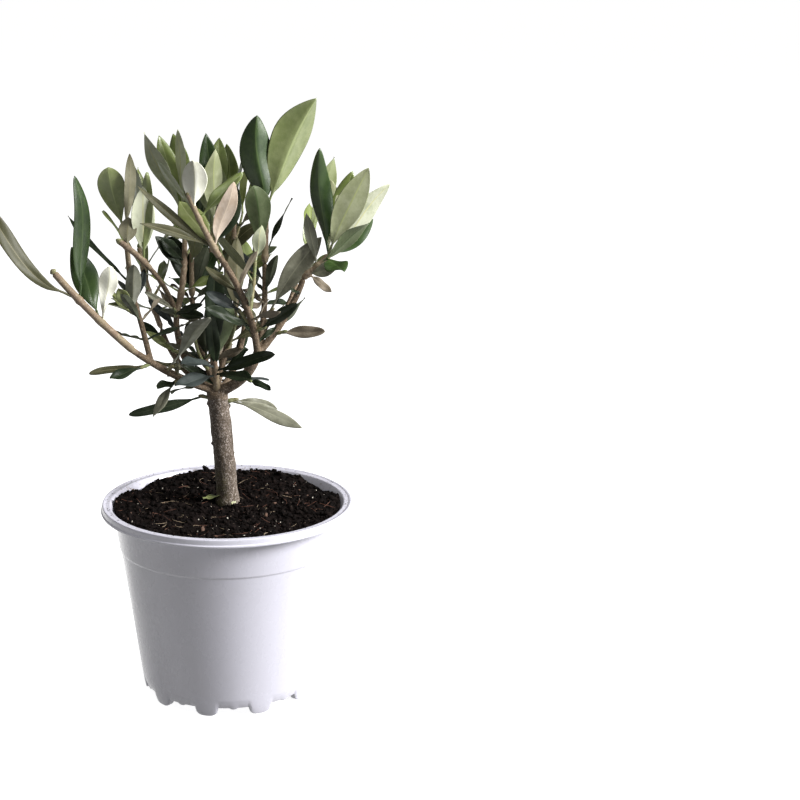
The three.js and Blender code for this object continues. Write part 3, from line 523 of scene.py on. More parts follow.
def smooth_step(low: float, high: float, value: float) -> float:
    """0 below low, 1 above high, and an even S between them."""
    share = min(max((value - low) / (high - low), 0.0), 1.0)
    return share * share * (3 - 2 * share)


def outline(share: float, skew: float, fullness: float) -> float:
    """How wide a blade is at a share of the leaf, against its widest place."""
    blade = max(share - PETIOLE_SHARE, 0) / (1 - PETIOLE_SHARE)
    return max(math.sin(math.pi * blade**skew), 0) ** fullness


def taper(radii: Pair) -> Radius:
    """A radius that goes evenly from the first to the second along a limb."""
    return lambda share: radii[0] + (radii[1] - radii[0]) * share


def place_of(index: int, count: int, ends: Pair) -> float:
    """The place, from the first end to the last, of one of several things along a stem."""
    share = 0.5 if count == 1 else index / (count - 1)
    return ends[0] + (ends[1] - ends[0]) * share


class Draws:
    """Repeatable draws between 0 and 1."""

    def __init__(self, seed: int) -> None:
        """Starts the draws from a whole number."""
        self.state = seed

    def next(self) -> float:
        """The next draw."""
        self.state = self.state * DRAW_FACTOR % DRAW_RANGE
        return self.state / DRAW_RANGE

    def spread(self, width: float) -> float:
        """A draw spread evenly round 0, from minus to plus half the width."""
        return (self.next() - 0.5) * width

    def between(self, low: float, high: float) -> float:
        """A draw spread evenly from low to high."""
        return low + (high - low) * self.next()

    def choice(self, options: Sequence[Tone]) -> Tone:
        """One of several tones."""
        return options[int(self.next() * len(options))]


class Path:
    """The line of a limb, walked from a start with an even turn and lift."""

    def __init__(self, start: Vector, limb: Limb) -> None:
        """Walks the line.

        Args:
            start: Where the limb leaves its parent.
            limb: Its direction, turn, lift and length.
        """
        self.length = limb.length
        self.points = [start.copy()]
        self.directions: list[Vector] = []
        self.sides: list[Vector] = []
        side = aim(limb.heading + 90, 0)
        for step in range(PATH_STEPS):
            share = (step + 0.5) / PATH_STEPS
            direction = aim(limb.heading + limb.turn * share, limb.rise + limb.lift * share)
            side = squared(side, direction)
            self.directions.append(direction)
            self.sides.append(side)
            self.points.append(self.points[step] + direction * (limb.length / PATH_STEPS))
        self.stations = np.array([tuple(point) for point in self.points])

    def point_at(self, distance: float) -> Vector:
        """The point at a distance along the line."""
        place = min(max(distance / self.length, 0), 1) * PATH_STEPS
        step = min(int(place), PATH_STEPS - 1)
        return self.points[step].lerp(self.points[step + 1], place - step)

    def frame_at(self, share: float) -> tuple[Vector, Vector, Vector]:
        """Direction, side and normal at a share of the length, eased from one step to the next."""
        place = min(max(share * PATH_STEPS - 0.5, 0), PATH_STEPS - 1)
        step = min(int(place), PATH_STEPS - 2)
        direction, side = (
            line[step].lerp(line[step + 1], place - step).normalized()
            for line in (self.directions, self.sides)
        )
        return direction, side, side.cross(direction)


class LeafLine:
    """A leaf's line: it starts on the stem and bends evenly, flatwise and edgewise."""

    def __init__(self, base: Vector, leaf: Leaf) -> None:
        """Lays the line.

        Args:
            base: Where the leaf leaves its stem.
            leaf: Its direction, size, face, bend, bow and twist.
        """
        self.base = base
        self.leaf = leaf
        self.direction = aim(leaf.heading, leaf.rise)
        looks = UP if leaf.face is None else aim(leaf.face, FACE_RISE)
        self.normal = turned(squared(looks, self.direction), self.direction, math.radians(leaf.twist))
        self.side = self.direction.cross(self.normal)
        self.curl = math.radians(max(math.hypot(leaf.bend, leaf.bow), STRAIGHT))
        inward = self.normal * leaf.bend + self.side * leaf.bow
        self.inward = (self.normal if inward.length < STRAIGHT else inward).normalized()
        self.hinge = self.direction.cross(self.inward)

    def angle_at(self, share: float) -> float:
        """The angle between the line and its chord at a share of the length."""
        return self.curl * (share - 0.5)

    def centre_at(self, share: float) -> Vector:
        """The middle of the blade at a share of the length."""
        along = (math.sin(self.angle_at(share)) - math.sin(self.angle_at(0))) / self.curl
        inward = (math.cos(self.angle_at(0)) - math.cos(self.angle_at(share))) / self.curl
        return self.base + (self.direction * along + self.inward * inward) * self.leaf.long

    def frame_at(self, share: float) -> tuple[Vector, Vector]:
        """The blade's side and normal at a share of the length."""
        angle = self.angle_at(share)
        return turned(self.side, self.hinge, angle), turned(self.normal, self.hinge, angle)

    def test_points(self) -> np.ndarray:
        """Points of the plain blade that are tested against its neighbours, one a row."""
        points = []
        for station in range(TEST_FIRST, TEST_STATIONS + 1):
            share = station / TEST_STATIONS
            side, _ = self.frame_at(share)
            centre = self.centre_at(share)
            half = max(TIP_HALF, self.leaf.wide / 2 * outline(share, OUTLINE_SKEW, OUTLINE_FULLNESS))
            points.extend(tuple(centre + side * half * across) for across in TEST_ACROSS)
        return np.array(points)


def nearest(points: np.ndarray, others: np.ndarray) -> float:
    """The smallest distance between two sets of points."""
    gaps = points[:, None, :] - others[None, :, :]
    return float(np.sqrt((gaps * gaps).sum(axis=2)).min())


def span(points: np.ndarray) -> tuple[np.ndarray, float]:
    """The middle one of a row of points, and how far they reach from there."""
    middle = points[len(points) // 2]
    return middle, float(np.linalg.norm(points - middle, axis=1).max())


@dataclass
class PlacedLeaf:
    """A leaf that has found its place, with what its neighbours are tested against."""

    owner: str
    line: LeafLine
    points: np.ndarray
    is_named: bool

    def __post_init__(self) -> None:
        """Works out the middle of the leaf and how far it reaches from there."""
        self.middle, self.reach = span(self.points)


class Growth:
    """Grows every limb, twig and leaf in order. A twig or leaf that would touch another is left out."""

    def __init__(self, boughs: Sequence[Limb], sprays: Sequence[Spray]) -> None:
        """Grows the tree.

        Args:
            boughs: The bare boughs, each after its parent.
            sprays: The sprays of foliage, each after its parent.
        """
        self.boughs = boughs
        self.sprays = sprays
        self.paths: dict[str, Path] = {}
        self.radii: dict[str, Radius] = {}
        self.obstacles: list[tuple[Path, float]] = []
        self.leaves: list[PlacedLeaf] = []
        self.twigs: list[Path] = []
        self.add_limb("trunk", Path(Vector(TRUNK_SIZES.foot), TRUNK), TRUNK_SIZES.radius)
        for limb in [*boughs, *sprays]:
            start = self.paths[limb.parent].point_at(limb.at)
            self.add_limb(limb.name, Path(start, limb), taper(limb.radii))
        for spray in sprays:
            for leaf in spray.leaves:
                self.grow_leaf(spray.name, self.paths[spray.name], leaf, is_named=True)
        for spray in sprays:
            self.grow_by_rule(spray)
        for inner in INNER_LEAVES:
            self.grow_inner(inner)

    def add_limb(self, name: str, path: Path, radius: Radius) -> None:
        """Adds a limb by name, and to what leaves keep clear of."""
        self.paths[name] = path
        self.radii[name] = radius
        self.obstacles.append((path, radius(0.5)))

    def touches_limb(self, points: np.ndarray, parent: Path) -> bool:
        """Whether any point is near a limb other than the one that it grows on."""
        for path, radius in self.obstacles:
            reach = max(radius + LIMB_CLEARANCE, path.length / PATH_STEPS / 2 + STATION_SLACK)
            if path is not parent and nearest(points, path.stations) < reach:
                return True
        return False

    def touches_leaf(self, points: np.ndarray, clearance: float, owner: str) -> bool:
        """Whether any point is near a placed leaf. Leaves of the owner's spray are passed over."""
        middle, reach = span(points)
        for other in self.leaves:
            if other.owner == owner:
                continue
            is_far = np.linalg.norm(other.middle - middle) > other.reach + reach + clearance
            if not is_far and nearest(points, other.points) < clearance:
                return True
        return False

    def grow_leaf(self, owner: str, parent: Path, leaf: Leaf, is_named: bool) -> None:
        """Grows a leaf where it is clear, turned a little if need be, and none where it never is.

        Args:
            owner: The name of the spray or bough that it belongs to.
            parent: The limb that it sits on.
            leaf: The leaf as wished for.
            is_named: Whether it is one of the spray's named leaves.
        """
        for heading, rise in TURNS:
            wish = replace(leaf, heading=leaf.heading + heading, rise=leaf.rise + rise)
            line = LeafLine(parent.point_at(leaf.at), wish)
            points = line.test_points()
            clearance = NAMED_CLEARANCE if is_named else RULE_CLEARANCE
            crowded = self.touches_leaf(points, clearance, owner if is_named else "")
            is_high = points[:, 2].min() > POT.height + LEVEL_CLEARANCE
            if is_high and not crowded and not self.touches_limb(points, parent):
                self.leaves.append(PlacedLeaf(owner, line, points, is_named))
                return

    def grow_drawn(self, owner: str, parent: Path, draws: Draws, leaf: Leaf) -> None:
        """Grows a leaf of the rule, with a twist and a bend of its own."""
        twist = draws.spread(RULE.twist_jitter)
        bend = leaf.bend + draws.spread(RULE.bend_jitter)
        self.grow_leaf(owner, parent, replace(leaf, twist=twist, bend=bend), is_named=False)

    def grow_pair(
        self, spray: Spray, draws: Draws, parent: Path, at: float, heading: float, rise: float, size: float
    ) -> None:
        """Grows two opposite leaves at one place on a stem.

        Args:
            spray: The spray that they belong to.
            draws: The spray's draws.
            parent: The stem or twig that they sit on.
            at: How far along it.
            heading: The first leaf's heading, before it is drawn apart.
            rise: Their rise.
            size: Their length.
        """
        form = Form.STRAP if spray.added.tone is DARK else Form.LANCE
        for turn in (0, 180):
            long = size * (1 + draws.spread(RULE.length_jitter))
            way = heading + turn + draws.spread(RULE.heading_jitter)
            tilt = rise + draws.spread(RULE.rise_jitter)
            wide = long * RULE.slenderness
            leaf = Leaf(form, spray.added.tone, at, way, tilt, long, wide, bend=RULE.bend)
            self.grow_drawn(spray.name, parent, draws, leaf)

    def grow_twig(self, spray: Spray, draws: Draws, parent: Path, at: float, heading: float) -> None:
        """Grows a short side twig with two pairs of leaves, where it is clear.

        Args:
            spray: The spray that it belongs to.
            draws: The spray's draws.
            parent: The stem that it leaves.
            at: How far along that.
            heading: Its heading.
        """
        limb = Limb("", "", at, heading, RULE.twig_rise, 0, RULE.twig_lift, RULE.twig_length)
        path = Path(parent.point_at(at), limb)
        tested = path.stations[PATH_STEPS // 4:]
        if self.touches_limb(tested, parent) or self.touches_leaf(tested, RULE_CLEARANCE, ""):
            return
        self.twigs.append(path)
        self.obstacles.append((path, RULE.twig_radii[0]))
        low = path.length * RULE.twig_low_place
        low_rise = RULE.twig_rise + RULE.twig_low_rise
        low_size = RULE.twig_leaf * RULE.twig_low_size
        self.grow_pair(spray, draws, path, low, heading + RULE.crossing, low_rise, low_size)
        tip_heading = heading + RULE.twig_tip_heading
        tip_rise = RULE.twig_rise + RULE.twig_tip_rise
        self.grow_pair(spray, draws, path, path.length, tip_heading, tip_rise, RULE.twig_leaf)

    def grow_by_rule(self, spray: Spray) -> None:
        """Adds a spray's crossed pairs and twigs."""
        added, stem = spray.added, self.paths[spray.name]
        draws = Draws(added.seed)
        first_heading = 360 * draws.next()
        for pair in range(added.pairs):
            place, rise, size = (
                place_of(pair, added.pairs, ends) for ends in (RULE.places, RULE.rises, RULE.sizes)
            )
            heading = first_heading + RULE.crossing * pair
            self.grow_pair(spray, draws, stem, stem.length * place, heading, rise, size)
        for twig in range(added.twigs):
            at = stem.length * place_of(twig, added.twigs, RULE.twig_places)
            heading = first_heading + RULE.twig_offset + RULE.twig_turn * twig
            self.grow_twig(spray, draws, stem, at, heading + draws.spread(RULE.heading_jitter))

    def grow_inner(self, inner: InnerLeaves) -> None:
        """Sets small dark leaves in crossed pairs along part of a bough."""
        draws = Draws(inner.seed)
        path = self.paths[inner.bough]
        for pair in range(inner.pairs):
            at = path.length * place_of(pair, inner.pairs, inner.places)
            heading = draws.between(0, 360)
            for turn in (0, 180):
                long = draws.between(*inner.lengths)
                tone = draws.choice(LOWER_TONES)
                way = heading + turn + draws.spread(RULE.heading_jitter)
                rise = draws.between(*inner.rises)
                leaf = strap(tone, at, way, rise, long, long * inner.slenderness)
                self.grow_drawn(inner.bough, path, draws, leaf)


# Finishes


class ShaderGraph:
    """A material with one Principled shader, and short calls to add nodes in front of it."""

    def __init__(self, name: str, colour: Triple, roughness: float, **values: float) -> None:
        """Starts a material.

        Args:
            name: The material's name.
            colour: Its base colour, linear.
            roughness: Its roughness.
            values: The shader's other sockets, as in to_shader.
        """
        self.material = bpy.data.materials.new(name)
        self.material.use_nodes = True
        self.tree = self.material.node_tree
        self.shader = self.tree.nodes["Principled BSDF"]
        self.to_shader(Base_Color=colour, Roughness=roughness, **values)

    def feed(self, socket: Socket, value: object) -> None:
        """Links a socket to another one, or sets it to a number, a vector or a colour."""
        if isinstance(value, Socket):
            self.tree.links.new(value, socket)
        else:
            socket.default_value = (*value, 1) if socket.type == "RGBA" else value

    def to_shader(self, **values: object) -> None:
        """Feeds the shader's own sockets, named with underscores for spaces."""
        for name, value in values.items():
            self.feed(self.shader.inputs[name.replace("_", " ")], value)

    def node(self, kind: str, output: object, inputs: dict[object, object], **settings: str) -> Socket:
        """Adds a node.

        Args:
            kind: Its type, without the start that all types have.
            output: The name or number of the output that is wanted.
            inputs: What each input is fed, by name or number.
            settings: Its settings.

        Returns:
            The output.
        """
        node = self.tree.nodes.new(f"ShaderNode{kind}")
        for name, value in settings.items():
            setattr(node, name, value)
        for name, value in inputs.items():
            self.feed(node.inputs[name], value)
        return node.outputs[output]

    def place(self, stretch: Triple = (1, 1, 1)) -> Socket:
        """Object coordinates, stretched along the axes."""
        coordinates = self.node("TexCoord", "Object", {})
        return self.node("Mapping", "Vector", {"Vector": coordinates, "Scale": stretch})

    def grain(
        self, size: float, detail: float = 3, rough: float = 0.55, place: Optional[Socket] = None
    ) -> Socket:
        """Soft noise round 0.5.

        Args:
            size: The size of its lumps, in millimetres.
            detail: How many finer layers it has.
            rough: How strong those are.
            place: Where it is read, or None for the plain object coordinates.

        Returns:
            The noise.
        """
        inputs = {"Scale": 1000 / size, "Detail": detail, "Roughness": rough, "Vector": place or self.place()}
        return self.node("TexNoise", "Fac", inputs)

    def specks(self, size: float) -> Socket:
        """Distance from scattered points about `size` millimetres apart."""
        return self.node("TexVoronoi", "Distance", {"Scale": 1000 / size, "Vector": self.place()})

    def part(self, name: str, axis: str) -> Socket:
        """One part of a vector attribute that the piece carries."""
        vector = self.node("Attribute", "Vector", {}, attribute_name=name)
        return self.node("SeparateXYZ", axis, {"Vector": vector})

    def math(self, operation: str, *values: object) -> Socket:
        """A Math node on sockets and numbers."""
        return self.node("Math", "Value", dict(enumerate(values)), operation=operation)

    def fade(self, value: Socket, low: float, high: float, start: float = 0, end: float = 1) -> Socket:
        """Goes smoothly from start to end as the value goes from low to high."""
        inputs = {"Value": value, "From Min": low, "From Max": high, "To Min": start, "To Max": end}
        return self.node("MapRange", "Result", inputs, interpolation_type="SMOOTHSTEP")

    def mix(self, share: Socket, first: object, second: object) -> Socket:
        """A colour between two, which are colours or sockets."""
        return self.node("Mix", 2, {0: share, 6: first, 7: second}, data_type="RGBA")

    def dress(self, colour: object, relief: Socket, strength: float, depth: float) -> Material:
        """Ends the material.

        Args:
            colour: Its base colour.
            relief: The pattern that it is raised by.
            strength: How strongly that shows.
            depth: How high it is, in millimetres.

        Returns:
            The material.
        """
        bump = self.node("Bump", "Normal", {"Strength": strength, "Distance": depth * MM, "Height": relief})
        self.to_shader(Base_Color=colour, Normal=bump)
        return self.material


@dataclass(frozen=True)
class PotPlastic:
    """Glossy white moulded plastic: a faint ripple, cloudy scuffs and soil dust at the lip."""

    colour: Triple = (0.58, 0.575, 0.66)
    scuffed: Triple = (0.565, 0.56, 0.64)
    dusty: Triple = (0.26, 0.22, 0.18)
    roughness: float = 0.27
    polish: float = 0.03
    wear: float = 0.05

    def build(self) -> Material:
        """Makes the material."""
        gloss = {"Coat_Weight": 0.3, "Coat_Roughness": 0.14, "Specular_IOR_Level": 0.5}
        graph = ShaderGraph("pot_plastic", self.colour, self.roughness, **gloss)
        scuffs = graph.grain(9, 5, 0.6, graph.place((1, 1, 0.6)))
        cloudy = graph.mix(graph.fade(scuffs, 0.56, 0.72), self.colour, self.scuffed)
        dust = graph.fade(graph.grain(2.2, 5, 0.75), 0.55, 0.68)
        dusted = graph.math("MULTIPLY", dust, graph.part("wall", "X"))
        worn = graph.fade(scuffs, 0.3, 0.75, self.roughness - self.polish, self.roughness + self.wear)
        graph.to_shader(Roughness=worn)
        ripple = graph.grain(26, 2, 0.4, graph.place((1, 1, 0.5)))
        pitting = graph.math("MULTIPLY", graph.grain(0.9, 2), 0.06)
        relief = graph.math("ADD", ripple, pitting)
        return graph.dress(graph.mix(dusted, cloudy, self.dusty), relief, 0.1, 0.5)


@dataclass(frozen=True)
class PottingSoil:
    """Moist, nearly black potting soil and its crumbs, with a few dry flecks."""

    dark: Triple = (0.0025, 0.0018, 0.0016)
    light: Triple = (0.011, 0.007, 0.006)
    dry: Triple = (0.09, 0.066, 0.055)

    def build(self) -> Material:
        """Makes the material."""
        graph = ShaderGraph("potting_soil", self.dark, 0.8, Specular_IOR_Level=0.07)
        lumps = graph.mix(graph.fade(graph.grain(3.2, 6, 0.7), 0.38, 0.7), self.dark, self.light)
        flecks = graph.fade(graph.specks(1.5), 0.1, 0.28, 1, 0)
        rare = graph.math("MULTIPLY", flecks, graph.fade(graph.grain(6, 2), 0.57, 0.63))
        return graph.dress(graph.mix(rare, lumps, self.dry), graph.grain(0.7, 5, 0.8), 0.9, 0.5)


@dataclass(frozen=True)
class PlainMatter:
    """A small thing of one material with a little grain, such as a grit, a fibre or a cut end."""

    name: str
    light: Triple
    dark: Triple
    roughness: float = 0.85
    grain_size: float = 1.2

    def build(self) -> Material:
        """Makes the material."""
        graph = ShaderGraph(self.name, self.light, self.roughness)
        grain = graph.grain(self.grain_size, 4)
        return graph.dress(graph.mix(graph.fade(grain, 0.35, 0.65), self.dark, self.light), grain, 0.3, 0.15)


@dataclass(frozen=True)
class OliveBark:
    """Young bark: grey-brown with fine upright flecks, dark pits, an algae tint and redder boughs."""

    pit: Triple = (0.028, 0.02, 0.015)
    plain: Triple = (0.088, 0.066, 0.046)
    fleck: Triple = (0.38, 0.33, 0.3)
    thin: Triple = (0.12, 0.083, 0.05)
    thin_fleck: Triple = (0.24, 0.18, 0.125)
    algae: Triple = (0.085, 0.078, 0.034)

    def build(self) -> Material:
        """Makes the material."""
        graph = ShaderGraph("bark", self.plain, 0.78, Specular_IOR_Level=0.3)
        upright = graph.place((1, 1, 0.7))
        flecks = graph.fade(graph.grain(0.6, 4, 0.6, upright), 0.47, 0.68)
        old = graph.mix(flecks, self.plain, self.fleck)
        young = graph.mix(flecks, self.thin, self.thin_fleck)
        aged = graph.mix(graph.part("limb", "Y"), old, young)
        patches = graph.fade(graph.grain(4, 5, 0.65), 0.4, 0.6, 0.25, 0.9)
        tinted = graph.mix(graph.math("MULTIPLY", graph.part("limb", "Z"), patches), aged, self.algae)
        pits = graph.fade(graph.grain(0.8, 3, 0.6, upright), 0.3, 0.42, 0.75, 0)
        cracks = graph.fade(graph.part("limb", "X"), 0.25, 0.5, 0.35, 0)
        colour = graph.mix(cracks, graph.mix(pits, tinted, self.pit), self.pit)
        return graph.dress(colour, graph.grain(0.6, 5, 0.7, upright), 0.7, 0.35)


@dataclass(frozen=True)
class ShootBark:
    """The skin of a young shoot, with a dusty bloom."""

    name: str
    wood: Triple
    green: Triple
    bloom: Triple

    def build(self) -> Material:
        """Makes the material."""
        graph = ShaderGraph(self.name, self.wood, 0.7)
        base = graph.mix(graph.fade(graph.grain(9, 2), 0.4, 0.62), self.wood, self.green)
        dusted = graph.mix(graph.fade(graph.grain(1.4, 4, 0.7), 0.5, 0.7), base, self.bloom)
        return graph.dress(dusted, graph.grain(0.5, 4), 0.4, 0.2)


@dataclass(frozen=True)
class LeafSkin:
    """One side of a leaf: its colour, its paler patches, its gloss and its raised or sunk veins."""

    name: str
    colour: Triple
    patch: Optional[Triple]
    roughness: float
    sheen: float
    veins: float
    coat: float = 0.0
    vein_count: float = 95.0
    vein_slant: float = 0.12

    def build(self) -> Material:
        """Makes the material."""
        gloss = {"Coat_Weight": self.coat, "Coat_Roughness": 0.25, "Specular_IOR_Level": self.sheen}
        graph = ShaderGraph(self.name, self.colour, self.roughness, **gloss)
        mottle = graph.math("ADD", graph.grain(6, 4, 0.6), graph.grain(34, 1))
        patches = graph.fade(mottle, 0.82, 1.2)
        skin = graph.mix(patches, self.colour, self.patch) if self.patch else self.colour
        across = graph.math("ABSOLUTE", graph.part("blade", "X"))
        slant = graph.math("MULTIPLY", across, self.vein_slant)
        along = graph.math("SUBTRACT", graph.part("blade", "Y"), slant)
        wave = graph.math("SINE", graph.math("MULTIPLY", along, self.vein_count))
        raised = graph.math("MULTIPLY", wave, self.veins)
        return graph.dress(skin, graph.math("ADD", raised, graph.grain(0.8, 3)), 0.18, 0.2)


@dataclass(frozen=True)
class LeafLook:
    """The colours of a leaf of one tone: each side with its patches, and the midrib."""

    upper: Triple
    upper_patch: Triple
    under: Triple
    under_patch: Triple
    rib: Triple
    roughness: float
    sheen: float = 0.2
    under_roughness: float = 0.6
    coat: float = 0.0

    def build(self, tone: Tone) -> list[Material]:
        """Makes the upper side, the matt under side and the midrib, in the order of the faces' indices."""
        name = f"leaf_{tone.value}"
        upper = LeafSkin(name, self.upper, self.upper_patch, self.roughness, self.sheen, 0.1, self.coat)
        under = LeafSkin(
            f"{name}_under", self.under, self.under_patch, self.under_roughness, self.sheen, 0.2
        )
        rib = LeafSkin(f"{name}_rib", self.rib, None, 0.5, self.sheen, 0.0)
        return [skin.build() for skin in (upper, under, rib)]


LOOKS: dict[Tone, LeafLook] = {
    DARK: LeafLook(
        (0.009, 0.015, 0.007), (0.022, 0.031, 0.017), (0.05, 0.058, 0.036), (0.085, 0.094, 0.065),
        (0.036, 0.045, 0.025), 0.36, 0.1,
    ),
    DEEP: LeafLook(
        (0.013, 0.033, 0.005), (0.032, 0.062, 0.013), (0.07, 0.097, 0.036), (0.115, 0.145, 0.066),
        (0.05, 0.085, 0.022), 0.38, 0.38,
    ),
    BLUE: LeafLook(
        (0.017, 0.022, 0.021), (0.04, 0.049, 0.047), (0.075, 0.085, 0.075), (0.12, 0.13, 0.115),
        (0.055, 0.065, 0.058), 0.42, 0.14,
    ),
    MOSS: LeafLook(
        (0.05, 0.05, 0.022), (0.085, 0.083, 0.044), (0.1, 0.096, 0.055), (0.155, 0.147, 0.098),
        (0.13, 0.12, 0.065), 0.45,
    ),
    GREEN: LeafLook(
        (0.105, 0.14, 0.032), (0.16, 0.2, 0.055), (0.125, 0.155, 0.05), (0.18, 0.21, 0.085),
        (0.21, 0.25, 0.1), 0.36, 0.6, 0.36,
    ),
    OLIVE: LeafLook(
        (0.16, 0.19, 0.06), (0.235, 0.265, 0.115), (0.22, 0.24, 0.13), (0.3, 0.32, 0.2),
        (0.28, 0.31, 0.14), 0.38, coat=0.05,
    ),
    GREY: LeafLook(
        (0.14, 0.14, 0.1), (0.24, 0.24, 0.18), (0.18, 0.185, 0.14), (0.28, 0.285, 0.23),
        (0.25, 0.25, 0.18), 0.48,
    ),
    # The pale tone is partly the leaves' own silvery grey-green and partly painted light: painted glare, and
    # a paler colour on some leaves that sit in shade.
    PALE: LeafLook(
        (0.36, 0.38, 0.22), (0.52, 0.54, 0.38), (0.37, 0.4, 0.27), (0.53, 0.55, 0.42),
        (0.5, 0.5, 0.28), 0.46,
    ),
    BEIGE: LeafLook(
        (0.5, 0.4, 0.29), (0.68, 0.58, 0.46), (0.42, 0.33, 0.25), (0.55, 0.46, 0.38),
        (0.6, 0.5, 0.39), 0.55,
    ),
    BROWN: LeafLook(
        (0.1, 0.08, 0.055), (0.19, 0.16, 0.12), (0.13, 0.11, 0.075), (0.2, 0.17, 0.125),
        (0.2, 0.165, 0.12), 0.5,
    ),
    # The silver tone is a silvery underside with painted glare: its colour is far lighter than a leaf's own,
    # to stand for a leaf lit white.
    WHITE: LeafLook(
        (0.64, 0.64, 0.53), (0.8, 0.8, 0.71), (0.7, 0.7, 0.58), (0.84, 0.84, 0.74),
        (0.58, 0.58, 0.44), 0.5,
    ),
}
OLDER_SHOOT = ShootBark("older_shoot", (0.17, 0.115, 0.072), (0.2, 0.155, 0.09), (0.35, 0.28, 0.2))
YOUNG_SHOOT = ShootBark("young_shoot", (0.17, 0.145, 0.065), (0.15, 0.18, 0.065), (0.33, 0.32, 0.19))
RUST = PlainMatter("rust_fibre", (0.16, 0.06, 0.035), (0.06, 0.026, 0.017))
STRAW = PlainMatter("straw_fibre", (0.4, 0.32, 0.22), (0.2, 0.14, 0.09))
CHIP = PlainMatter("bark_chip", (0.14, 0.075, 0.05), (0.045, 0.025, 0.017))
GRIT = PlainMatter("pale_grit", (0.62, 0.58, 0.5), (0.34, 0.3, 0.25), 0.7)
CUT_WOOD = PlainMatter("cut_wood", (0.62, 0.5, 0.36), (0.42, 0.3, 0.2), 0.75, 0.8)


# Shared mesh work


# A limb's last ring keeps this share of its section.
CLOSED_END = 0.04


def free_to_mesh(bm: BMesh, name: str) -> bpy.types.Mesh:
    """Turns a bmesh into a mesh and frees it."""
    mesh = bpy.data.meshes.new(name)
    bm.to_mesh(mesh)
    bm.free()
    return mesh


def add_object(name: str, data: bpy.types.ID) -> bpy.types.Object:
    """Adds an object with this data to the scene."""
    made = bpy.data.objects.new(name, data)
    bpy.context.scene.collection.objects.link(made)
    return made


class Workshop:
    """Turns bmeshes in millimetres round the pot's axis into finished pieces in metres."""

    def __init__(self, axis: Vector) -> None:
        """Takes the place, in metres, where the pot's axis meets the ground."""
        self.to_frame = Matrix.Translation(axis) @ Matrix.Scale(MM, 4)

    def piece(
        self, name: str, bm: BMesh, materials: Sequence[Material], slot: str, replaces: Sequence[str] = ()
    ) -> None:
        """Makes a finished piece, which rides on the plant's one body, and frees its bmesh.

        Args:
            name: The piece's name.
            bm: Its shape, in millimetres.
            materials: Its materials, in the order of its faces' indices.
            slot: Not used.
            replaces: The solids that it stands for.
        """
        for face in bm.faces:
            face.smooth = True
        mesh = free_to_mesh(bm, name)
        mesh.transform(self.to_frame)
        for material in materials:
            mesh.materials.append(material)
        piece = add_object(name, mesh)
        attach(piece, "root")
        if replaces:
            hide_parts(*replaces)
        triangles = sum(len(polygon.vertices) - 2 for polygon in mesh.polygons)
        LOG.info("%-22s %7d triangles", name, triangles)


def blank_tube(sides: int, rings: int) -> bpy.types.Mesh:
    """A closed cylinder of radius 1 from z = 0 to z = 1, to be bent."""
    bm = bmesh.new()
    middle = Matrix.Translation((0, 0, 0.5))
    bmesh.ops.create_cone(bm, cap_ends=True, segments=sides, radius1=1, radius2=1, depth=1, matrix=middle)
    upright = [edge for edge in bm.edges if abs(edge.verts[0].co.z - edge.verts[1].co.z) > 0.5]
    bmesh.ops.subdivide_edges(bm, edges=upright, cuts=rings - 1)
    return free_to_mesh(bm, "blank_tube")


def blank_lump(subdivisions: int) -> bpy.types.Mesh:
    """A ball of radius 1 with even faces, to be shaped."""
    bm = bmesh.new()
    bmesh.ops.create_icosphere(bm, subdivisions=subdivisions, radius=1)
    return free_to_mesh(bm, "blank_lump")


def spun(corners: Sequence[Triple], roundings: Sequence[float], steps: int, merge: float) -> BMesh:
    """Spins a line of corners once round the pot's axis.

    Args:
        corners: The corners, in the plane of y = 0.
        roundings: How far each corner is rounded, or nothing for plain corners.
        steps: Faces round the axis.
        merge: Corners nearer to each other than this are joined.

    Returns:
        The closed shape.
    """
    bm = bmesh.new()
    line = [bm.verts.new(corner) for corner in corners]
    for first, second in zip(line, line[1:]):
        bm.edges.new((first, second))
    for corner, rounding in zip(line, roundings):
        if rounding:
            bmesh.ops.bevel(
                bm, geom=[corner], offset=rounding, segments=5, profile=0.5, affect="VERTICES", material=-1
            )
    bmesh.ops.spin(
        bm, geom=[*bm.verts, *bm.edges], cent=(0, 0, 0), axis=(0, 0, 1), angle=math.tau, steps=steps,
        use_merge=True,
    )
    bmesh.ops.remove_doubles(bm, verts=bm.verts, dist=merge)
    return bm


def append_shaped(
    bm: BMesh, blank: bpy.types.Mesh, shape: Shape, material: int = 0
) -> tuple[list[bmesh.types.BMVert], list[bmesh.types.BMFace]]:
    """Adds a copy of a blank with each vertex moved.

    Args:
        bm: What it is added to.
        blank: The blank.
        shape: Gives a vertex's new place from its place on the blank.
        material: The index of the faces' material.

    Returns:
        The new vertices and faces, in the blank's order.
    """
    vertices_before, faces_before = len(bm.verts), len(bm.faces)
    bm.from_mesh(blank)
    bm.verts.ensure_lookup_table()
    bm.faces.ensure_lookup_table()
    vertices, faces = bm.verts[vertices_before:], bm.faces[faces_before:]
    for vertex in vertices:
        vertex.co = shape(vertex.co)
    for face in faces:
        face.material_index = material
    return vertices, faces


def limb_shape(path: Path, radius: Radius, sink: float = 0.0, dome: float = 0.05) -> Shape:
    """How a blank tube is bent into a limb with rounded ends.

    Args:
        path: The limb's line.
        radius: Its radius at a share of the length.
        sink: How far it runs back into what it grows from.
        dome: The share of the length over which an end closes.

    Returns:
        The shape for append_shaped.
    """

    def shape(corner: Vector) -> Vector:
        """Where a corner of the blank lies on the limb."""
        share = corner.z
        direction, side, normal = path.frame_at(share)
        ending = min(share, 1 - share) / dome
        close = math.sqrt(max(1 - (1 - ending) ** 2, CLOSED_END)) if ending < 1 else 1.0
        centre = path.point_at(share * path.length) - direction * sink * max(1 - share / dome, 0)
        return centre + (side * corner.x + normal * corner.y) * radius(share) * close

    return shape


# The pot


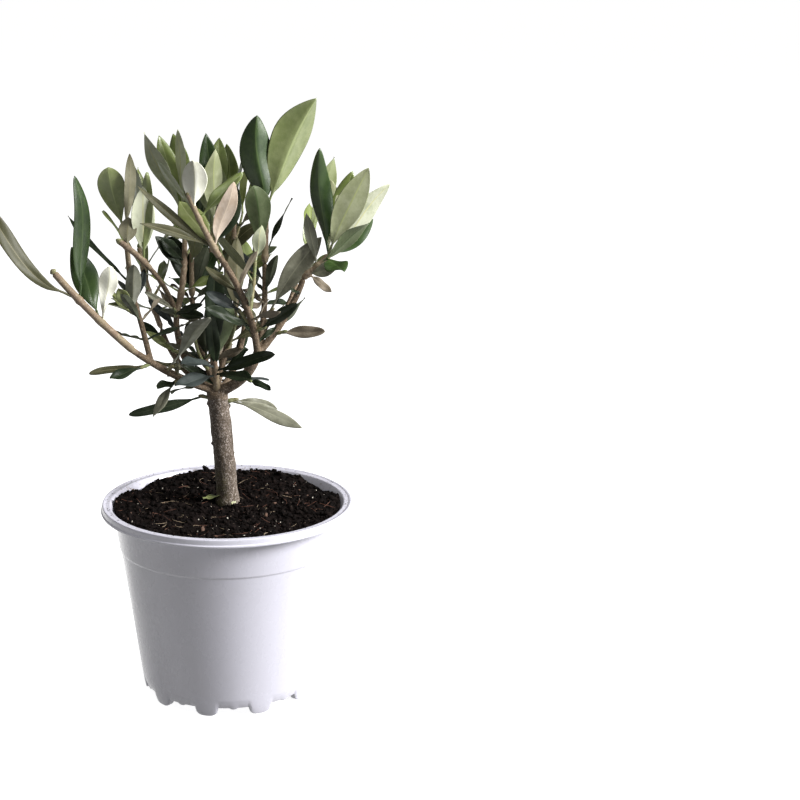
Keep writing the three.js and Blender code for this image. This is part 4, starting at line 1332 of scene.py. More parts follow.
@dataclass
class NurseryPot:
    """The plastic pot: rolled lip, shoulder band, tapered wall and small feet with arches between them."""

    sizes: PotSizes = POT
    finish: PotPlastic = field(default_factory=PotPlastic)
    segments: int = 360
    floor_fillet: Pair = (0.8, 1)
    wall_stations: Pair = (30, 55)
    step_height: float = 1.0
    bead: float = 0.6
    bead_height: float = 1.1
    nick: float = 0.1
    groove: float = 0.4
    lip_round: float = 0.2
    lip_dip: float = 0.45
    mouth_dip: float = 0.35
    mouth_flare: float = 1.1
    crisp: float = 0.3
    soft: float = 0.4
    arch_zone: float = 9.0
    foot_flush: float = 0.5
    foot_reach: float = 6.1
    skirt_slack: float = 0.4
    dust_depths: Pair = (5, 0.5)
    outside_dust: float = 0.12
    dusty_band: float = 2
    heel_round: float = 1.5
    step_round: float = 0.25
    crown_round: float = 0.35
    mouth_round: float = 0.6
    corner_inset: float = 1
    nub_flat: float = 0.6
    merge: float = 0.01

    def profile(self) -> list[Triple]:
        """Radius, height and rounding of each corner, from the axis below to the axis inside."""
        pot = self.sizes
        inner = pot.foot_radius - pot.skirt
        deck = pot.floor_height + pot.floor
        corner = deck + pot.corner_rise
        shoulder = pot.wall_radius(pot.shoulder_bottom)
        band = pot.wall_radius(pot.shoulder_top) + pot.shoulder_step
        neck = pot.height - pot.mouth_depth
        hem = pot.height - pot.lip_drop
        bead_top = hem + self.bead_height
        lip = pot.lip_radius - self.bead
        return [
            (0.0, pot.floor_height, 0),
            (inner - self.floor_fillet[0], pot.floor_height, 0),
            (inner, pot.floor_height - self.floor_fillet[1], self.crisp),
            (inner, 0.0, self.crisp),
            (pot.foot_radius + self.foot_flush, 0.0, self.soft),
            (pot.wall_radius(pot.heel_height), pot.heel_height, self.heel_round),
            (pot.wall_radius(pot.straight_from), pot.straight_from, self.heel_round),
            *((pot.wall_radius(height), height, 0) for height in self.wall_stations),
            (shoulder, pot.shoulder_bottom - self.step_height, self.step_round),
            (shoulder + pot.shoulder_step, pot.shoulder_bottom, self.crisp),
            (band, pot.shoulder_top, self.crisp),
            (pot.lip_radius - pot.lip_slope, hem, self.crisp),
            (pot.lip_radius - self.nick, hem + self.nick, self.soft),
            (pot.lip_radius, bead_top, self.crisp),
            (lip, bead_top + self.groove, self.crisp),
            (lip, pot.height - self.bead_height, self.crisp),
            (lip - self.lip_round, pot.height, self.soft),
            (lip - self.bead_height, pot.height, self.crown_round),
            (pot.lip_radius - pot.lip_crown, pot.height - self.lip_dip, self.crown_round),
            (pot.mouth_radius + self.mouth_flare, pot.height - self.mouth_dip, self.mouth_round),
            (pot.mouth_radius - self.nick, pot.height - pot.mouth_lip, self.mouth_round),
            (pot.wall_radius(neck) + pot.shoulder_step - pot.wall, neck, 0),
            (shoulder - pot.wall, pot.shoulder_bottom, 0),
            (pot.wall_radius(corner) - pot.wall - self.corner_inset, corner, 0),
            (0.0, deck, 0),
        ]

    def lower_edge(self, heading: float) -> float:
        """Height of the skirt's lower edge: 0 on a foot, the arch's height between two, with a nub."""
        pot = self.sizes
        pitch = 360 / pot.feet
        turn = abs((heading - pot.first_foot_heading + pitch / 2) % pitch - pitch / 2)
        along = math.radians(turn) * pot.foot_radius
        half_pitch = math.radians(pitch / 2) * pot.foot_radius
        arch = pot.arch_height * (1 - math.sqrt(1 - min(along / self.foot_reach, 1) ** 3))
        nub = pot.nub_drop * (1 - smooth_step(self.nub_flat, pot.nub_half_width, half_pitch - along))
        return arch - nub if arch > 0 else 0.0

    def lift_arches(self, bm: BMesh) -> None:
        """Lifts the lower edge of the skirt between the feet, and what is just above it by less."""
        inner = self.sizes.foot_radius - self.sizes.skirt - self.skirt_slack
        for vertex in bm.verts:
            radius = math.hypot(vertex.co.x, vertex.co.y)
            if vertex.co.z >= self.arch_zone or radius < inner:
                continue
            edge = self.lower_edge(heading_of(vertex.co))
            if radius >= inner + 2 * self.skirt_slack or vertex.co.z <= edge:
                vertex.co.z = edge + vertex.co.z * (self.arch_zone - edge) / self.arch_zone

    def mark_wall(self, bm: BMesh) -> None:
        """Marks the lip and the inside, where soil dust lies, on the attribute `wall`."""
        layer = bm.verts.layers.float_vector.new("wall")
        low, high = (self.sizes.height - depth for depth in self.dust_depths)
        for vertex in bm.verts:
            near_lip = smooth_step(low, high, vertex.co.z)
            is_inside = math.hypot(vertex.co.x, vertex.co.y) < self.sizes.lip_radius - self.dusty_band
            vertex[layer] = (near_lip if is_inside else self.outside_dust * near_lip, 0, 0)

    def build(self, workshop: Workshop) -> None:
        """Spins the profile, lifts the arches and dresses the pot."""
        corners = [(radius, 0, height) for radius, height, _ in self.profile()]
        roundings = [rounding for _, _, rounding in self.profile()]
        bm = spun(corners, roundings, self.segments, self.merge)
        bmesh.ops.recalc_face_normals(bm, faces=bm.faces)
        self.lift_arches(bm)
        self.mark_wall(bm)
        workshop.piece("pot_shell", bm, [self.finish.build()], "pot_plastic", ["pot"])


# The soil


@dataclass(frozen=True)
class Batch:
    """Crumbs of one kind: how many, their half lengths, how high they lie and how flat they are."""

    count: int
    sizes: Pair
    lifts: Pair
    flat: float
    splits: int = 1
    is_lifted_by_size: bool = False


@dataclass
class SoilFill:
    """Potting soil: a lumpy top, clods and crumbs, dark and pale fibres, bark chips and pale grit."""

    sizes: PotSizes = POT
    seed: int = 2203
    rings: int = 70
    segments: int = 220
    clods: Batch = Batch(820, (0.7, 1.9), (-0.3, 0.35), 0.8, 2, True)
    crumbs: Batch = Batch(3400, (0.22, 0.8), (0, 0.8), 0.9, 1, True)
    chips: Batch = Batch(24, (0.6, 1.7), (0.2, 0.8), 0.4)
    grits: Batch = Batch(70, (0.22, 0.55), (0.2, 0.8), 0.4)
    fibres: int = 90
    pale_fibres: int = 50
    fibre_lengths: Pair = (3, 10)
    fibre_radii: Pair = (0.06, 0.14)
    fibre_heights: Pair = (0.3, 1.0)
    fibre_rises: Pair = (-4, 18)
    fibre_lift: float = 50
    rust_curl: float = 220
    straw_curl: float = 340
    lip_specks: int = 90
    lip_insets: Pair = (2.0, 5.0)
    speck_sizes: Pair = (0.15, 0.32)
    speck_flat: float = 0.6
    speck_lift: float = 0.05
    crumb_heights: Pair = (0.6, 1.0)
    crumb_widths: Pair = (0.7, 1.3)
    bump_depth: float = 0.45
    bump_rate: float = 1.3
    skirt: float = 7.0
    skirt_inset: float = 3
    heap: float = 0.6
    front_dip: float = 1.8
    side_dip: float = 3.2
    dip_headings: Pair = (143, 30)
    dip_reach: float = 26.0
    edge_margin: float = 4
    trunk_margin: float = 0.5
    lump_share: float = 0.8
    sinking: float = 0.5
    merge: float = 0.001
    # Height, width and shift of the lumps, of the finer ones on them and of the finest.
    layers: tuple[tuple[float, float, Triple], ...] = (
        (1.5, 9, (0, 0, 0)),
        (0.9, 4, (9, 0, 0)),
        (0.45, 1.7, (0, 5, 0)),
    )

    def edge_height(self, heading: float) -> float:
        """Height of the soil at the wall: heaped to the lip, lower in front and in two dips."""
        front = self.front_dip * smooth_step(0, 1, -math.sin(math.radians(heading)))
        dips = 0.0
        for middle in self.dip_headings:
            turn = abs((heading - middle + 180) % 360 - 180)
            dips += self.side_dip * (1 - smooth_step(0, self.dip_reach, turn))
        return self.sizes.height - self.heap - front - dips

    def edge_radius(self, heading: float) -> float:
        """The soil's radius where it meets the wall."""
        return self.sizes.inner_radius(self.edge_height(heading)) - 2 * GAP

    def level(self, x: float, y: float) -> float:
        """Height of the lumpy soil at a place."""
        place = Vector((x, y, 0))
        heading = math.degrees(math.atan2(y, x))
        radius = math.hypot(x, y)
        crown = self.sizes.height - self.sizes.soil_crown
        share = smooth_step(self.sizes.soil_flat_radius, self.edge_radius(heading) - self.edge_margin, radius)
        lumps = sum(high * noise.noise(place / wide + Vector(shift)) for high, wide, shift in self.layers)
        plain = crown + (self.edge_height(heading) - crown) * share
        return plain + lumps * self.lump_share - self.sinking

    def top_mesh(self) -> BMesh:
        """The lumpy top with a short skirt down inside the pot's wall."""
        line = [(ring / self.rings, 0, 0) for ring in range(self.rings + 1)]
        bm = spun([*line, (1, 0, -self.skirt), (0, 0, -self.skirt)], (), self.segments, self.merge)
        below = self.sizes.height - self.sizes.soil_edge - self.skirt
        skirt_radius = self.sizes.inner_radius(below) - self.skirt_inset
        for vertex in bm.verts:
            is_top = vertex.co.z > -self.skirt / 2
            reach = self.edge_radius(heading_of(vertex.co)) if is_top else skirt_radius
            x, y = vertex.co.x * reach, vertex.co.y * reach
            vertex.co = (x, y, self.level(x, y) if is_top else below)
        bmesh.ops.recalc_face_normals(bm, faces=bm.faces)
        return bm

    def spot(self, draws: Draws, spare: float) -> Vector:
        """A drawn place on the soil, `spare` millimetres or more from the wall and clear of the trunk."""
        trunk = Vector((*TRUNK_SIZES.foot[:2], 0))
        while True:
            heading = draws.between(0, math.tau)
            limit = self.edge_radius(math.degrees(heading)) - spare
            radius = limit * math.sqrt(draws.next())
            place = Vector((radius * math.cos(heading), radius * math.sin(heading), 0))
            if (place - trunk).length > TRUNK_SIZES.flare_radius + self.trunk_margin:
                place.z = self.level(place.x, place.y)
                return place

    def lump_shape(self, draws: Draws, place: Vector, size: float, flat: float) -> Shape:
        """A drawn crumb: an uneven lump at a place.

        Args:
            draws: Give its lumps, its stretch and its turn.
            place: Its middle.
            size: Its rough half length.
            flat: Its height as a share of that.

        Returns:
            The shape for append_shaped.
        """
        seed = Vector((draws.between(0, 90), draws.between(0, 90), draws.between(0, 90)))
        high = draws.between(*self.crumb_heights) * flat
        long, wide = draws.between(*self.crumb_widths), draws.between(*self.crumb_widths)
        stretch = Vector((long, wide, high))
        turn = Quaternion(aim(draws.between(0, 360), draws.between(-60, 60)), draws.between(0, 3))

        def shape(corner: Vector) -> Vector:
            """Where a corner of the blank lies on the crumb."""
            bumpy = corner * (1 + self.bump_depth * noise.noise(corner * self.bump_rate + seed))
            return place + turn @ Vector(bumpy * stretch) * size

        return shape

    def scatter(self, bm: BMesh, draws: Draws, batch: Batch) -> BMesh:
        """Scatters a batch over the soil, into a bmesh that it also gives back."""
        blank = blank_lump(batch.splits)
        for _ in range(batch.count):
            size = draws.between(*batch.sizes)
            place = self.spot(draws, size)
            lift = draws.between(*batch.lifts) * (size if batch.is_lifted_by_size else 1)
            append_shaped(bm, blank, self.lump_shape(draws, place + UP * lift, size, batch.flat))
        return bm

    def crumb_mesh(self) -> BMesh:
        """Clods and crumbs over the top, and a few crumbs on the lip."""
        draws = Draws(self.seed)
        bm = bmesh.new()
        self.scatter(bm, draws, self.clods)
        self.scatter(bm, draws, self.crumbs)
        blank = blank_lump(1)
        for _ in range(self.lip_specks):
            heading = math.radians(draws.between(0, 360))
            radius = self.sizes.lip_radius - draws.between(*self.lip_insets)
            height = self.sizes.height + self.speck_lift
            place = Vector((radius * math.cos(heading), radius * math.sin(heading), height))
            size = draws.between(*self.speck_sizes)
            append_shaped(bm, blank, self.lump_shape(draws, place, size, self.speck_flat))
        return bm

    def fibre_mesh(self, count: int, seed: int, curl: float) -> BMesh:
        """Curved fibres lying on the soil.

        Args:
            count: How many.
            seed: What they are drawn from.
            curl: The widest spread of their turn, in degrees.

        Returns:
            The fibres.
        """
        draws = Draws(seed)
        bm = bmesh.new()
        blank = blank_tube(5, 8)
        for _ in range(count):
            length = draws.between(*self.fibre_lengths)
            place = self.spot(draws, length * 0.6) + UP * draws.between(*self.fibre_heights)
            heading = draws.between(0, 360)
            rise = draws.between(*self.fibre_rises)
            turn = draws.spread(curl)
            limb = Limb("", "", 0, heading, rise, turn, draws.spread(self.fibre_lift), length)
            path = Path(place - aim(heading, 0) * length / 2, limb)
            thick = draws.between(*self.fibre_radii)
            append_shaped(bm, blank, limb_shape(path, taper((thick, thick))))
        return bm

    def build(self, workshop: Workshop) -> None:
        """Makes the soil's pieces."""
        soil = PottingSoil().build()
        workshop.piece("soil_top", self.top_mesh(), [soil], "potting_soil", ["soil"])
        workshop.piece("soil_crumbs", self.crumb_mesh(), [soil], "potting_soil")
        for name, matter, bm in (
            ("soil_rust_fibres", RUST, self.fibre_mesh(self.fibres, self.seed + 1, self.rust_curl)),
            ("soil_straw_fibres", STRAW, self.fibre_mesh(self.pale_fibres, self.seed + 4, self.straw_curl)),
            ("soil_chips", CHIP, self.scatter(bmesh.new(), Draws(self.seed + 2), self.chips)),
            ("soil_grit", GRIT, self.scatter(bmesh.new(), Draws(self.seed + 3), self.grits)),
        ):
            workshop.piece(name, bm, [matter.build()], "potting_soil")


# The wood


@dataclass(frozen=True)
class Knob:
    """A small knob or healed bud on a limb: how far along, where it faces, and its size."""

    limb: str
    at: float
    heading: float
    radius: float


@dataclass
class WoodyFrame:
    """The trunk and boughs as one skin with swollen forks, knobs and the bark's relief."""

    growth: Growth
    knobs: tuple[Knob, ...]
    voxel: float = 0.42
    buried: float = 4.0
    smoothings: int = 5
    bough_share: float = 0.87
    upright_stretch: float = 0.6
    knob_seed: int = 5011
    small_knobs: int = 46
    small_knob_radii: Pair = (0.45, 0.8)
    thick_radii: Pair = (1.6, 5.0)
    algae_heights: Pair = (6, 38)
    algae_sides: Pair = (-0.5, 0.7)
    sides: int = 28
    rings: int = 34
    foot_overlap: float = 1.5
    fork_swell: float = 1.2
    fork_limit: float = 1.08
    knob_rise: float = 10
    knob_sink: float = 0.15
    knob_places: Pair = (0.12, 0.95)
    twin_knob: float = 0.9
    crack_width: float = 1.7
    # The fractal's falloff, step, layers, offset and gain.
    crack_fractal: tuple[float, ...] = (0.9, 2.1, 4, 1.0, 2.0)
    crack_peak: float = 2.6
    scale_width: float = 0.7
    wart_width: float = 1.6
    wart_floor: float = 0.25
    swell_width: float = 7
    # How high each stands on thin wood, and how much more on thick wood.
    crack_relief: Pair = (0.08, 0.1)
    scale_relief: Pair = (0.05, 0.05)
    swell_relief: Pair = (0.08, 0.3)
    wart_relief: float = 0.35

    def limb_names(self) -> list[str]:
        """The trunk and the boughs."""
        return ["trunk", *(bough.name for bough in self.growth.boughs)]

    def limb_radius(self, name: str) -> Radius:
        """A limb's radius at a share of its length. The boughs are a little slimmer than the solids."""
        solid = self.growth.radii[name]
        return solid if name == "trunk" else lambda share: solid(share) * self.bough_share

    @staticmethod
    def add_lump(bm: BMesh, blank: bpy.types.Mesh, centre: Vector, size: object) -> None:
        """Adds a blank at a place, with its size as a number or along each axis."""
        append_shaped(bm, blank, lambda corner: centre + corner * size)

    def rough_mesh(self) -> BMesh:
        """Every limb as a tube, with a swelling at each fork and the knobs."""
        bm = bmesh.new()
        tube, ball = blank_tube(self.sides, self.rings), blank_lump(3)
        for name in self.limb_names():
            append_shaped(bm, tube, limb_shape(self.growth.paths[name], self.limb_radius(name), dome=0.03))
        foot = self.growth.paths["trunk"].points[0] - UP * self.buried
        flare = TRUNK_SIZES.flare_radius
        self.add_lump(bm, tube, foot, Vector((flare, flare, self.buried + self.foot_overlap)))
        for bough in self.growth.boughs:
            limit = self.limb_radius(bough.parent)(0.9) * self.fork_limit
            swell = min(bough.radii[0] * self.fork_swell, limit)
            self.add_lump(bm, ball, self.growth.paths[bough.name].points[0], swell)
        for knob in [*self.knobs, *self.drawn_knobs()]:
            path = self.growth.paths[knob.limb]
            share = knob.at / path.length
            outward = squared(aim(knob.heading, self.knob_rise), path.frame_at(share)[0])
            sunk = self.limb_radius(knob.limb)(share) - knob.radius * self.knob_sink
            self.add_lump(bm, ball, path.point_at(knob.at) + outward * sunk, knob.radius)
        return bm

    def drawn_knobs(self) -> list[Knob]:
        """Small leaf scars scattered in pairs along the boughs."""
        draws = Draws(self.knob_seed)
        knobs = []
        for index in range(self.small_knobs):
            bough = self.growth.boughs[index % len(self.growth.boughs)]
            at = bough.length * draws.between(*self.knob_places)
            heading = draws.between(0, 360)
            size = draws.between(*self.small_knob_radii)
            knobs.append(Knob(bough.name, at, heading, size))
            knobs.append(Knob(bough.name, at, heading + 180, size * self.twin_knob))
        return knobs

    def skin(self) -> BMesh:
        """The limbs fused into one skin and smoothed."""
        draft = add_object("rough_wood", free_to_mesh(self.rough_mesh(), "rough_wood"))
        remesh = draft.modifiers.new("fuse", "REMESH")
        remesh.mode = "VOXEL"
        remesh.voxel_size = self.voxel
        fused = draft.evaluated_get(bpy.context.evaluated_depsgraph_get()).to_mesh()
        bm = bmesh.new()
        bm.from_mesh(fused)
        bpy.data.objects.remove(draft)
        axes = {"use_axis_x": True, "use_axis_y": True, "use_axis_z": True}
        for _ in range(self.smoothings):
            bmesh.ops.smooth_vert(bm, verts=bm.verts, factor=0.5, **axes)
        return bm

    def station_tree(self) -> tuple[kdtree.KDTree, list[tuple[Vector, float]]]:
        """Finds the direction and radius of the limb that a point lies on."""
        places = []
        stations = []
        for name in self.limb_names():
            path, radius = self.growth.paths[name], self.growth.radii[name]
            for step, direction in enumerate(path.directions):
                share = (step + 0.5) / PATH_STEPS
                places.append(path.point_at(share * path.length))
                stations.append((direction, radius(share)))
        tree = kdtree.KDTree(len(places))
        for index, place in enumerate(places):
            tree.insert(place, index)
        tree.balance()
        return tree, stations

    def carve_bark(self, bm: BMesh) -> None:
        """Moves the skin in and out by the bark's relief.

        The attribute `limb` keeps the cracks, how thin the limb is, and the shaded foot where algae grow.

        Args:
            bm: The skin, which is changed.
        """
        tree, stations = self.station_tree()
        layer = bm.verts.layers.float_vector.new("limb")
        bm.normal_update()
        foot = self.growth.paths["trunk"].points[0]
        moves = []
        for vertex in bm.verts:
            direction, radius = stations[tree.find(vertex.co)[1]]
            squeezed = vertex.co - direction * vertex.co.dot(direction) * self.upright_stretch
            fractal = noise.ridged_multi_fractal(squeezed / self.crack_width, *self.crack_fractal)
            cracks = fractal / self.crack_peak
            scales = noise.noise(squeezed / self.scale_width)
            wart = noise.noise(vertex.co / self.wart_width + Vector((7, 0, 0))) - self.wart_floor
            broad = noise.noise(vertex.co / self.swell_width)
            thickness = smooth_step(*self.thick_radii, radius)
            crack, scale, swell = (
                thin + more * thickness
                for thin, more in (self.crack_relief, self.scale_relief, self.swell_relief)
            )
            relief = (cracks - 0.5) * crack + scales * scale
            relief += max(wart, 0) * thickness * self.wart_relief + broad * swell
            low = 1 - smooth_step(*self.algae_heights, vertex.co.z - foot.z)
            away = smooth_step(*self.algae_sides, -vertex.normal.x)
            moves.append((vertex, relief, (cracks, 1 - thickness, low * away)))
        for vertex, relief, kept in moves:
            vertex.co += vertex.normal * relief
            vertex[layer] = kept

    def build(self, workshop: Workshop) -> None:
        """Makes the wood."""
        bm = self.skin()
        self.carve_bark(bm)
        workshop.piece("trunk_and_boughs", bm, [OliveBark().build()], "bark", self.limb_names())


@dataclass(frozen=True)
class PrunedEnd:
    """A short stub where a limb was cut: its limb, how far it runs on, and its radius."""

    limb: str
    length: float
    radius: float


@dataclass
class PrunedEnds:
    """Stubs past the ends of some boughs, with pale cut faces."""

    growth: Growth
    ends: tuple[PrunedEnd, ...]
    buried: float = 2
    unevenness: float = 0.06
    slant: float = 0.35
    slant_from: float = 0.7

    def build(self, workshop: Workshop) -> None:
        """Makes the stubs, the bark first and the cut faces second."""
        bm = bmesh.new()
        tube = blank_tube(20, 10)
        for end in self.ends:
            path = self.growth.paths[end.limb]
            direction, side, normal = path.frame_at(1.0)
            start = path.points[-1] - direction * self.buried

            def shape(corner: Vector) -> Vector:
                """Where a corner of the blank lies on the stub."""
                flared = end.radius * (1 + self.unevenness * noise.noise(corner * 2))
                around = (side * corner.x + normal * corner.y) * flared
                slant = self.slant * corner.x * end.radius * smooth_step(self.slant_from, 1, corner.z)
                return start + around + direction * (corner.z * (end.length + self.buried) + slant)

            for face in append_shaped(bm, tube, shape)[1]:
                is_cut = len(face.verts) > 4 and face.calc_center_median().z > start.z + end.length * 0.5
                face.material_index = 1 if is_cut else 0
        workshop.piece("pruned_ends", bm, [OLDER_SHOOT.build(), CUT_WOOD.build()], "bark")


# The foliage


@dataclass
class Shoots:
    """The stems and twigs that carry the leaves, swollen a little at each pair, with buds at their tips."""

    growth: Growth
    seed: int = 6007
    node_swell: float = 0.22
    node_reach: float = 0.9
    older_from: float = 1.5
    sink: float = 1.2
    bud_lengths: Pair = (1.2, 2.0)
    bud_base: float = 1.05
    bud_taper: float = 0.5
    swell_limit: float = 1.2

    def stem_shape(self, path: Path, radii: Pair, nodes: Sequence[float] = ()) -> Shape:
        """A stem that is thicker where leaves sit.

        Args:
            path: Its line.
            radii: Its radii at its start and end.
            nodes: Where leaves sit, in millimetres along it.

        Returns:
            The shape for append_shaped.
        """
        plain = taper(radii)

        def radius(share: float) -> float:
            """The stem's radius at a share of its length, larger near its leaves."""
            gaps = [(share * path.length - node) / self.node_reach for node in nodes]
            near = sum(math.exp(-gap * gap) for gap in gaps)
            return plain(share) * (1 + self.node_swell * min(near, self.swell_limit))

        return limb_shape(path, radius, sink=self.sink, dome=0.04)

    def bud_shape(self, path: Path, radius: float, draws: Draws) -> Shape:
        """How a ball becomes a pointed bud at the tip of a shoot.

        Args:
            path: The shoot's line.
            radius: The shoot's radius at its tip.
            draws: Give the bud's length.

        Returns:
            The shape for append_shaped.
        """
        direction, side, normal = path.frame_at(1.0)
        length = draws.between(*self.bud_lengths)
        tip = path.points[-1]

        def shape(corner: Vector) -> Vector:
            """Where a corner of the blank lies on the bud."""
            narrow = radius * (self.bud_base - self.bud_taper * max(corner.z, 0))
            return tip + direction * corner.z * length + (side * corner.x + normal * corner.y) * narrow

        return shape

    def build(self, workshop: Workshop) -> None:
        """Makes the shoots, the older ones of the first material and the young ones of the second."""
        draws = Draws(self.seed)
        bm = bmesh.new()
        stem, twig, bud = blank_tube(14, 30), blank_tube(8, 14), blank_lump(2)
        for spray in self.growth.sprays:
            path = self.growth.paths[spray.name]
            nodes = [placed.line.leaf.at for placed in self.growth.leaves if placed.owner == spray.name]
            age = 0 if spray.radii[0] >= self.older_from else 1
            append_shaped(bm, stem, self.stem_shape(path, spray.radii, nodes), age)
            append_shaped(bm, bud, self.bud_shape(path, spray.radii[1], draws), 1)
        for path in self.growth.twigs:
            append_shaped(bm, twig, self.stem_shape(path, RULE.twig_radii), 1)
            append_shaped(bm, bud, self.bud_shape(path, RULE.twig_radii[1], draws), 1)
        workshop.piece("shoots", bm, [OLDER_SHOOT.build(), YOUNG_SHOOT.build()], "foliage")


@dataclass(frozen=True)
class FallenLeaf:
    """A shed leaf on the soil: where its stalk lies, where it points, its size and its tone."""

    place: Pair
    heading: float
    long: float
    wide: float
    tone: Tone


RIB_CROWDING = 1.5


def spread_out(place: float) -> float:
    """A place across the blank, moved so that the blade has more faces near its midrib."""
    return math.copysign(abs(place) ** RIB_CROWDING, place)


@dataclass
class Foliage:
    """The leaves: thin waved blades on short stalks, each with a fold and a midrib, joined by tone."""

    growth: Growth
    fallen: tuple[FallenLeaf, ...]
    soil: SoilFill
    sides: int = 22
    rings: int = 26
    seed: int = 7919
    half_thickness: float = 0.2
    stalk_half: float = 0.55
    stalk_fullness: float = 1.2
    stalk_ends: Pair = (0.8, 1.8)
    end_crowding: float = 0.4
    fold_spread: float = 0.4
    wave: float = 0.9
    wave_counts: Pair = (1.1, 2.0)
    roll: float = 0.1
    groove: float = 0.22
    groove_reach: float = 0.13
    twist_spread: float = 20
    twist_middle: float = 0.4
    sway: float = 1.6
    tip_curl: float = 3.0
    tip_from: float = 0.55
    rib_reach: float = 0.1
    strap_share: float = 0.86
    fallen_lift: float = 2.4
    fallen_rise: float = 4
    kept_share: float = 0.55

    def stalk_at(self, share: float) -> float:
        """Half the stalk's thickness at a share of the leaf."""
        return self.stalk_half * (self.stalk_fullness - share)

    def half_width(self, leaf: Leaf, share: float) -> float:
        """Half the blade's width: a slim stalk that opens into the leaf's own outline."""
        skew, fullness, _ = leaf.form.value
        slimmer = self.strap_share if leaf.form is Form.STRAP else 1.0
        return max(self.stalk_at(share), leaf.wide / 2 * slimmer * outline(share, skew, fullness))

    def blade_shape(self, line: LeafLine, draws: Draws) -> Shape:
        """How a blank tube becomes a leaf. Its x turns to thickness, its y to width, its z to length.

        Args:
            line: The leaf's line.
            draws: Give its own fold, waves, twist, sway and curl.

        Returns:
            The shape for append_shaped.
        """
        leaf = line.leaf
        fold = leaf.form.value[2] + draws.spread(self.fold_spread)
        phase = draws.between(0, math.tau)
        wave = self.wave * draws.between(0.3, 1.0)
        twist = math.radians(draws.spread(self.twist_spread))
        waves = draws.between(*self.wave_counts)
        sway = draws.spread(self.sway) * leaf.long / RULE.sizes[1]
        curl = draws.spread(self.tip_curl) * leaf.long / RULE.sizes[1]

        def shape(corner: Vector) -> Vector:
            """Where a corner of the blank lies on the leaf."""
            crowded = 0.5 - 0.5 * math.cos(math.pi * corner.z)
            share = corner.z + (crowded - corner.z) * self.end_crowding
            side, normal = line.frame_at(share)
            half = self.half_width(leaf, share)
            across = spread_out(corner.y)
            first, last = self.stalk_ends
            grown = smooth_step(PETIOLE_SHARE * first, PETIOLE_SHARE * last, share)
            stalk = self.stalk_at(share)
            thick = stalk + (self.half_thickness - stalk) * grown
            folded = fold * abs(across) * half * grown
            rolled = -self.roll * half * abs(across) ** 4 * grown
            groove = -self.groove * math.exp(-((across / self.groove_reach) ** 2)) * grown * (1 - share)
            ripple = wave * math.sin(share * waves * math.tau + phase) * across * grown
            lean = twist * (share - self.twist_middle) * half * across
            curled = curl * smooth_step(self.tip_from, 1.0, share) ** 2
            height = corner.x * thick + folded + rolled + groove + ripple + lean + curled
            shift = across * half + sway * math.sin(math.tau * share) * grown
            return line.centre_at(share) + side * shift + normal * height

        return shape

    def tone_of(self, placed: PlacedLeaf, draws: Draws) -> Tone:
        """A named leaf's own tone. A leaf of the rule takes its spray's, or now and then another."""
        own = placed.line.leaf.tone
        if placed.is_named or draws.next() < self.kept_share:
            return own
        return draws.choice(LOWER_TONES if own in LOWER_TONES else UPPER_TONES)

    def shown(self) -> list[PlacedLeaf]:
        """The leaves that are made: all but the few that would close a gap in the crown."""
        counts: dict[str, int] = {}
        kept = []
        for placed in self.growth.leaves:
            number = counts.get(placed.owner, 0)
            if not placed.is_named:
                counts[placed.owner] = number + 1
            if placed.is_named or (placed.owner, number) not in LEFT_OPEN:
                kept.append(placed)
        return kept

    def fallen_line(self, shed: FallenLeaf) -> LeafLine:
        """The line of a leaf that lies on the soil."""
        low = Vector((*shed.place, self.soil.level(*shed.place) + self.fallen_lift))
        return LeafLine(low, oval(shed.tone, 0, shed.heading, self.fallen_rise, shed.long, shed.wide))

    def face_index(self, middle: Vector) -> int:
        """The material of a face of the blank: 0 above, 1 below and 2 along the midrib."""
        if abs(middle.y) < self.rib_reach:
            return 2
        return 0 if middle.x > 0 else 1

    def build(self, workshop: Workshop) -> None:
        """Makes the leaves, one joined piece for each tone."""
        draws = Draws(self.seed)
        blank = blank_tube(self.sides, self.rings)
        indices = [self.face_index(polygon.center) for polygon in blank.polygons]
        marks = [(spread_out(spot.co.y), spot.co.z, 0) for spot in blank.vertices]
        lines = [(self.tone_of(placed, draws), placed.line) for placed in self.shown()]
        lines.extend((shed.tone, self.fallen_line(shed)) for shed in self.fallen)
        joined = {tone: bmesh.new() for tone in Tone}
        for bm in joined.values():
            bm.verts.layers.float_vector.new("blade")
        for tone, line in lines:
            vertices, faces = append_shaped(joined[tone], blank, self.blade_shape(line, draws))
            layer = joined[tone].verts.layers.float_vector["blade"]
            for vertex, mark in zip(vertices, marks):
                vertex[layer] = mark
            for face, index in zip(faces, indices):
                face.material_index = index
        for tone, bm in joined.items():
            bmesh.ops.recalc_face_normals(bm, faces=bm.faces)
            replaced = [spray.name for spray in self.growth.sprays] if tone is DARK else ()
            workshop.piece(f"leaves_{tone.value}", bm, LOOKS[tone].build(tone), "foliage", replaced)


# The studio


@dataclass(frozen=True)
class AreaLight:
    """A soft square light: where it stands, its size in metres, its power and colour."""

    name: str
    place: Triple
    size: float
    power: float
    colour: Triple

    def build(self, target: Vector) -> None:
        """Adds the light, aimed at a point."""
        data = bpy.data.lights.new(self.name, "AREA")
        data.size = self.size
        data.energy = self.power
        data.color = self.colour
        lamp = add_object(self.name, data)
        lamp.location = self.place
        lamp.rotation_euler = (target - lamp.location).to_track_quat("-Z", "Y").to_euler()


